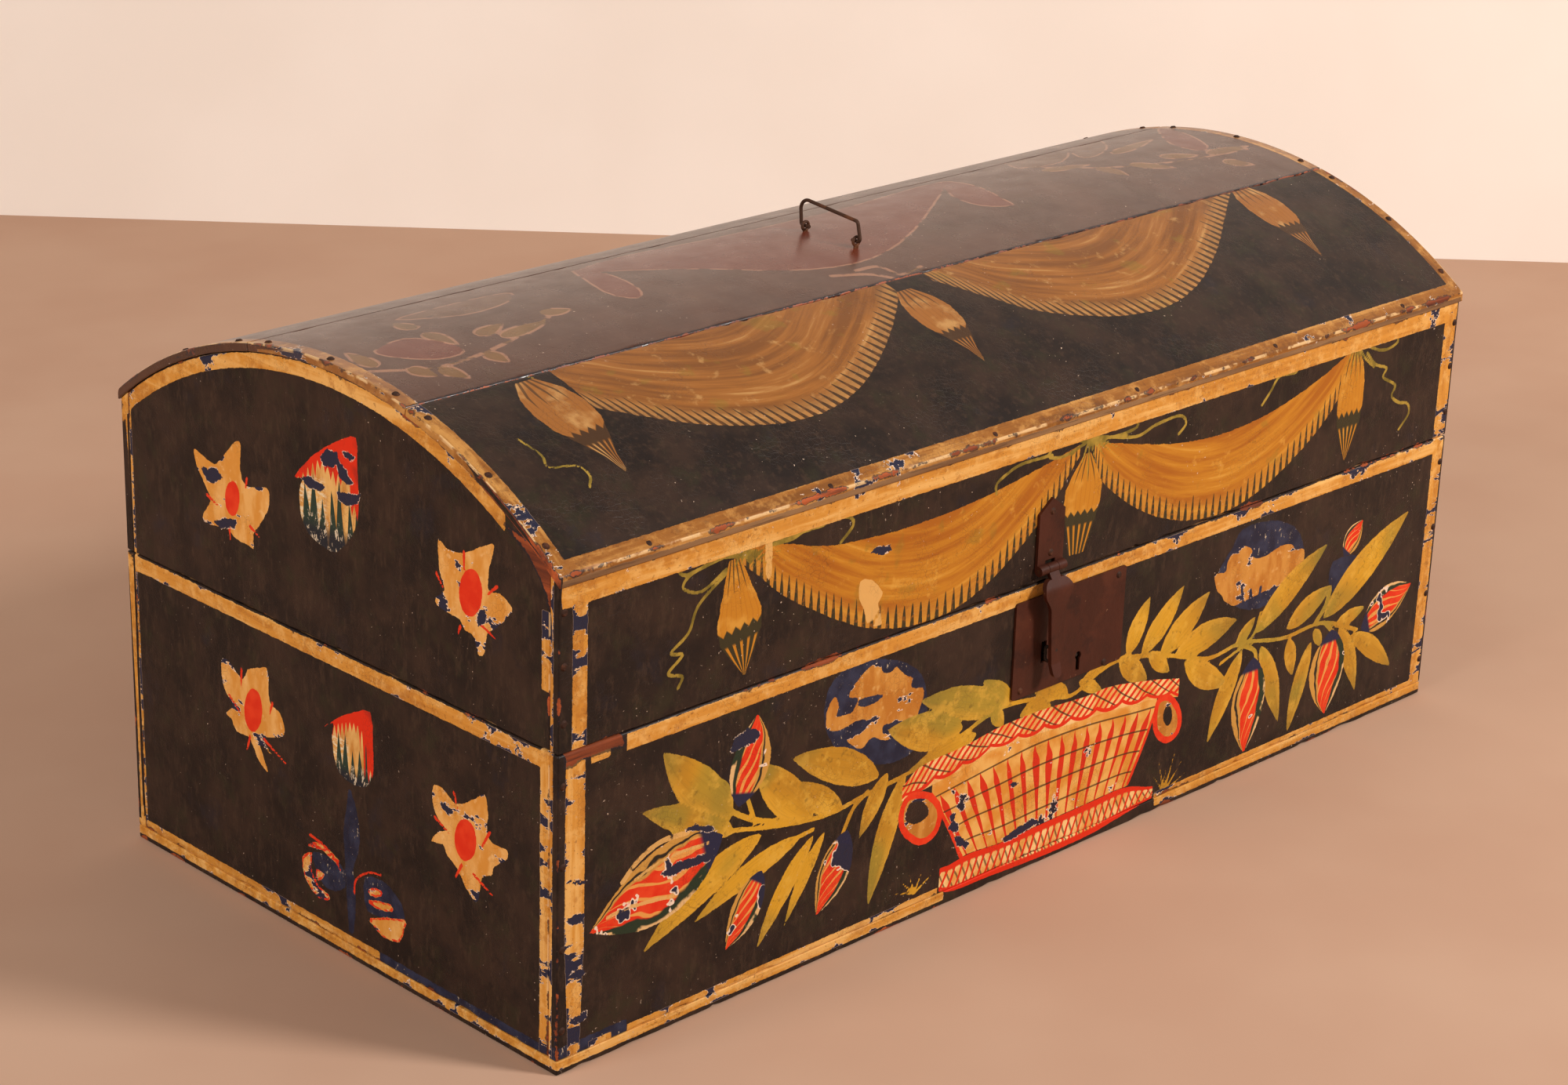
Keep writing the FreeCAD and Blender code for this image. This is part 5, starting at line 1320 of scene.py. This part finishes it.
def sink_mortise(a, h, d):
    """Opens the lock's mortise behind its plate: the outer face goes in almost to the board's inner one."""
    z = bottom_thick + h
    within = (a > mortise_left) & (a < mortise_right) & (z > mortise_low) & (z < mortise_high) & (d < 0.1 * mm)
    return a, h, np.where(within, board_thick - 0.05 * mm, d)


def rail_place(plane, sign):
    """A lid rail: its top follows the roof's underside, so each height is stretched to reach it at that depth."""

    def place(a, h, d):
        y = plane - sign * d
        return np.stack([a, y, lid_foot + h * (under_roof(y) - lid_foot) / (rail_top - lid_foot)], -1)

    return place


def box_end_place(plane, sign):
    """A box end: its points run along Y, and its depth inwards from the plane."""
    return lambda a, h, d: np.stack([plane - sign * d, a, bottom_thick + h], -1)


def lid_end_place(plane, sign):
    """A lid end: its top follows the roof's underside."""
    return lambda a, h, d: np.stack(
        [plane - sign * d, a, lid_foot + h / lid_end_height * (under_roof(a) - lid_foot)], -1)


# How far from the eave the roof's inner side begins to run on.
eave_reach = 12 * mm


def roof_place(lower_angle):
    """A roof board bent round the roof's axis: height is arc length at the outer radius and depth is towards the
    axis. Near the eave the inner side runs on a little, so that the eave's edge stands upright."""

    def place(a, h, d):
        angle = lower_angle + h / roof_outer
        spread = (inner_eave_angle - eave_angle) * d / (roof_outer - roof_inner)
        near_eave = np.clip(1 - (eave_angle - np.abs(angle)) * roof_outer / eave_reach, 0, 1)
        angle = angle + np.sign(angle) * spread * near_eave
        radius = roof_outer - d
        return np.stack([a, radius * np.sin(angle), roof_axis + radius * np.cos(angle)], -1)

    return place


def end_grain_of_front(paint):
    """Adds what the long boards' end grain shows at the chest's ends: an ochre line towards the end board."""

    def with_ends(a, h, d):
        marks = paint(a, h, d)
        end = half_length - np.abs(a) < end_grain_depth
        marks["band"] = np.where(end, np.minimum(strip(d, 2.9 * mm, 7 * mm), 2 * mm), marks["band"])
        return marks

    return with_ends


def paint_bottom(a, h, d):
    """The bottom board's narrow faces carry the foot band and the basket's foot on; what is far from them is bare."""
    inward = np.minimum(np.minimum(h, 2 * back_face - h), half_length - np.abs(a))
    left, right = on_box_front([(1206, 1134), (1476, 1012)])[:, 0]
    beside_basket = widest(left - a, a - right, h - 6 * mm)
    _, foot, _ = basket_marks(np.stack(np.broadcast_arrays(a, d), -1), on_box_front)
    foot[..., 0] = np.where(h < 4 * mm, foot[..., 0], nothing)
    return {"band": np.minimum(np.minimum(strip(d, *foot_band), 3 * mm - inward), beside_basket), "lattice": foot,
        "skin": inward, "rim": d}


# The chest, painted board by board.

place_camera()
between_long_boards = back_face - board_thick
box_wall = box_top - bottom_thick
roof_thick = roof_outer - roof_inner

front_paint = painted_board("box_front_paint", along_x, ("blue", "cream", "leaf", "wall", "lattice", "red", "bud",
    "line"), cloth=front_petals)
rail_paint = painted_board("front_rail_paint", along_x, ("swag", "tassel", "ribbon", "line"))
end_paint = painted_board("end_paint", along_y, ("blue", "cream", "red", "tulip"), cloth=end_petals)
roof_front_paint = painted_board("roof_front_paint", along_x, ("swag", "tassel", "ribbon"), dull_ochre, 0.05,
    roof_cloth, roof_fringe, across_run=round_roof)
# The middle and back roof boards carry a warm film of faded paint and painted sheen.
roof_middle_paint = painted_board("roof_middle_paint", along_x, ("cream", "red", "leaf"), dull_ochre, 0.87,
    roof_cloth, roof_fringe, shine=0.3, varnish=0.7, bloom_and_painted_sheen=0.34, across_run=round_roof)
plain_paint = painted_board("plain_paint", along_x)
bottom_paint = painted_board("bottom_paint", along_x, ("lattice",))
roof_back_paint = painted_board("roof_back_paint", along_x, (), dull_ochre, shine=0.3, varnish=0.7, bloom_and_painted_sheen=0.3,
    across_run=round_roof)

rail_height = rail_top - lid_foot
worn_board("front_board", "box_front_board", "box", flat_board(front_face, bottom_thick, -1), half_length, box_wall,
    front_paint, end_grain_of_front(paint_box_front), 11, spacing=1.05 * mm, rows=116, bites=14,
    reshape=sink_mortise)
worn_board("back_board", "box_back_board", "box", flat_board(back_face, bottom_thick, 1), half_length, box_wall,
    plain_paint, paint_plain(bottom_thick, (box_top_band, foot_band)), 12, spacing=2.5 * mm, rows=40)
for side, sign, seed in (("left", -1, 13), ("right", 1, 14)):
    worn_board(f"{side}_end_board", f"box_{side}_end", "box", box_end_place(sign * half_length, sign),
        between_long_boards, box_wall, end_paint, paint_box_end, seed, rows=110)
worn_board("front_rail", "lid_front_rail", "lid", rail_place(front_face, -1), half_length, rail_height, rail_paint,
    end_grain_of_front(paint_front_rail), 15, spacing=1.05 * mm, rows=62, bites=12)
worn_board("back_rail", "lid_back_rail", "lid", rail_place(back_face, 1), half_length, rail_height, plain_paint,
    paint_plain(lid_foot, ((192.5 * mm, 202.6 * mm),)), 16, spacing=2.5 * mm, rows=24)
for side, sign, seed in (("left", -1, 17), ("right", 1, 18)):
    worn_board(f"lid_{side}_end_board", f"lid_{side}_end", "lid", lid_end_place(sign * half_length, sign),
        between_long_boards, lid_end_height, end_paint, paint_lid_end, seed, rows=106)
worn_board("bottom_board", "box_bottom_board", "box", lambda a, h, d: np.stack([a, front_face + h, d], -1),
    half_length, 2 * back_face, bottom_paint, paint_bottom, 31, bottom_thick, spacing=1.6 * mm, rows=36,
    back_rows=36, edge_rows=8, calm=0.6 * mm, bites=10)

# Each roof board's place, ends as angles from the crown, finish, forms and fineness, from front to back.
half_gap = joint_gap_angle / 2
for place, low_angle, high_angle, finish, forms, with_eave, spacing, rows, seed in (
        ("front", -eave_angle, front_joint_angle - half_gap, roof_front_paint, roof_front_forms, -1, 1.15, 90, 21),
        ("middle", front_joint_angle + half_gap, back_joint_angle - half_gap, roof_middle_paint, roof_middle_forms,
        0, 1.15, 88, 22), ("back", back_joint_angle + half_gap, eave_angle, roof_back_paint, None, 1, 2.4, 44, 23)):
    worn_board(f"roof_{place}", f"lid_roof_{place}_board", "lid", roof_place(low_angle), roof_half_length,
        (high_angle - low_angle) * roof_outer, finish, roof_marks(low_angle, with_eave, forms), seed, roof_thick,
        spacing * mm, rows, calm=0.45 * mm, bites=9, end_round=0.6 * mm)

nail_finish = forged_iron("nail_iron_finish", tint(58, 36, 26), tint(92, 52, 32), 0.55, 0.35)
wire_finish = forged_iron("wire_iron_finish", tint(72, 46, 32), tint(110, 66, 40), 0.5, 0.3, rusted=0.48)
plate_finish = brown_painted_iron("lock_paint")
inner_iron = forged_iron("inner_iron_finish", tint(62, 52, 46), tint(104, 62, 38), 0.5, 0.7)
# The first of these whose words a fitting's name holds is its finish. The rest are the lock's inner pieces.
fitting_finishes = ((("nails",), nail_finish), (("lock_plate", "hasp_strap", "hasp_arm"), plate_finish),
    (("bail", "eye", "link"), wire_finish))
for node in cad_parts:
    held = [finish for words, finish in fitting_finishes if any(word in node for word in words)]
    finish = held[0] if held else inner_iron
    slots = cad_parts[node].data.materials
    for k in range(len(slots)):
        slots[k] = finish
    if not len(slots):
        slots.append(finish)


# Floor, wall and light.


def plain_sheet(name, corners, faces, colour):
    """A sheet with a mottled matt face, which a camera behind it sees through."""
    mesh = bpy.data.meshes.new(name)
    mesh.from_pydata(corners, [], faces)
    sheet = bpy.data.objects.new(name, mesh)
    bpy.context.scene.collection.objects.link(sheet)
    f = Finish(name)
    mottle = f.grain(6, 3)
    mesh.materials.append(f.settle(f.blend(f.rise(mottle, 0.3, 0.7), colour[0], colour[1]), 0.9,
        Specular_IOR_Level=0.1))
    back = f.value("ShaderNodeNewGeometry", output="Backfacing")
    seen = f.value("ShaderNodeLightPath", output="Is Camera Ray")
    sides = {0: back * seen, 1: Value(f, f.shader.outputs[0]), 2: f.value("ShaderNodeBsdfTransparent")}
    f.feed(f.tree.nodes["Material Output"].inputs["Surface"], f.value("ShaderNodeMixShader", sides))


# The floor is open under the bottom board, so that a view from below shows it in the room's light.
floor_edge = [(-5, -5, 0), (5, -5, 0), (5, 5, 0), (-5, 5, 0)]
floor_gap = [(-0.277, -0.135, 0), (0.277, -0.135, 0), (0.277, 0.135, 0), (-0.277, 0.135, 0)]
plain_sheet("floor", floor_edge + floor_gap, [(0, 1, 5, 4), (1, 2, 6, 5), (2, 3, 7, 6), (3, 0, 4, 7)],
    (tint(187, 151, 128), tint(193, 159, 136)))
wall_foot, wall_run = Vector((0.62, 0.62, 0)), Vector((2.9, -2.9, 0))
wall_height = Vector((0, 0, 1.1))
plain_sheet("wall", [wall_foot - wall_run, wall_foot + wall_run, wall_foot + wall_run + wall_height,
    wall_foot - wall_run + wall_height], [(0, 1, 2, 3)], (tint(248, 238, 228), tint(252, 243, 234)))


def soft_lamp(name, place, towards, size, watts, colour):
    light = bpy.data.lights.new(name, "AREA")
    light.shape = "DISK"
    light.size = size
    light.energy = watts
    light.color = colour
    lamp = bpy.data.objects.new(name, light)
    lamp.location = place
    lamp.rotation_euler = (Vector(towards) - Vector(place)).to_track_quat("-Z", "Y").to_euler()
    bpy.context.scene.collection.objects.link(lamp)


soft_lamp("window", (0.75, -1.7, 1.4), (0, 0, 0.1), 0.45, 44, (1.0, 0.95, 0.9))
soft_lamp("room", (-2.1, 0.05, 1.2), (0, 0, 0.1), 1.2, 28.5, (1.0, 0.94, 0.9))
world = bpy.data.worlds.new("room_air")
world.use_nodes = True
world.node_tree.nodes["Background"].inputs["Color"].default_value = tint(255, 240, 228)
world.node_tree.nodes["Background"].inputs["Strength"].default_value = 0.3
bpy.context.scene.world = world
bpy.context.scene.view_settings.view_transform = "Standard"
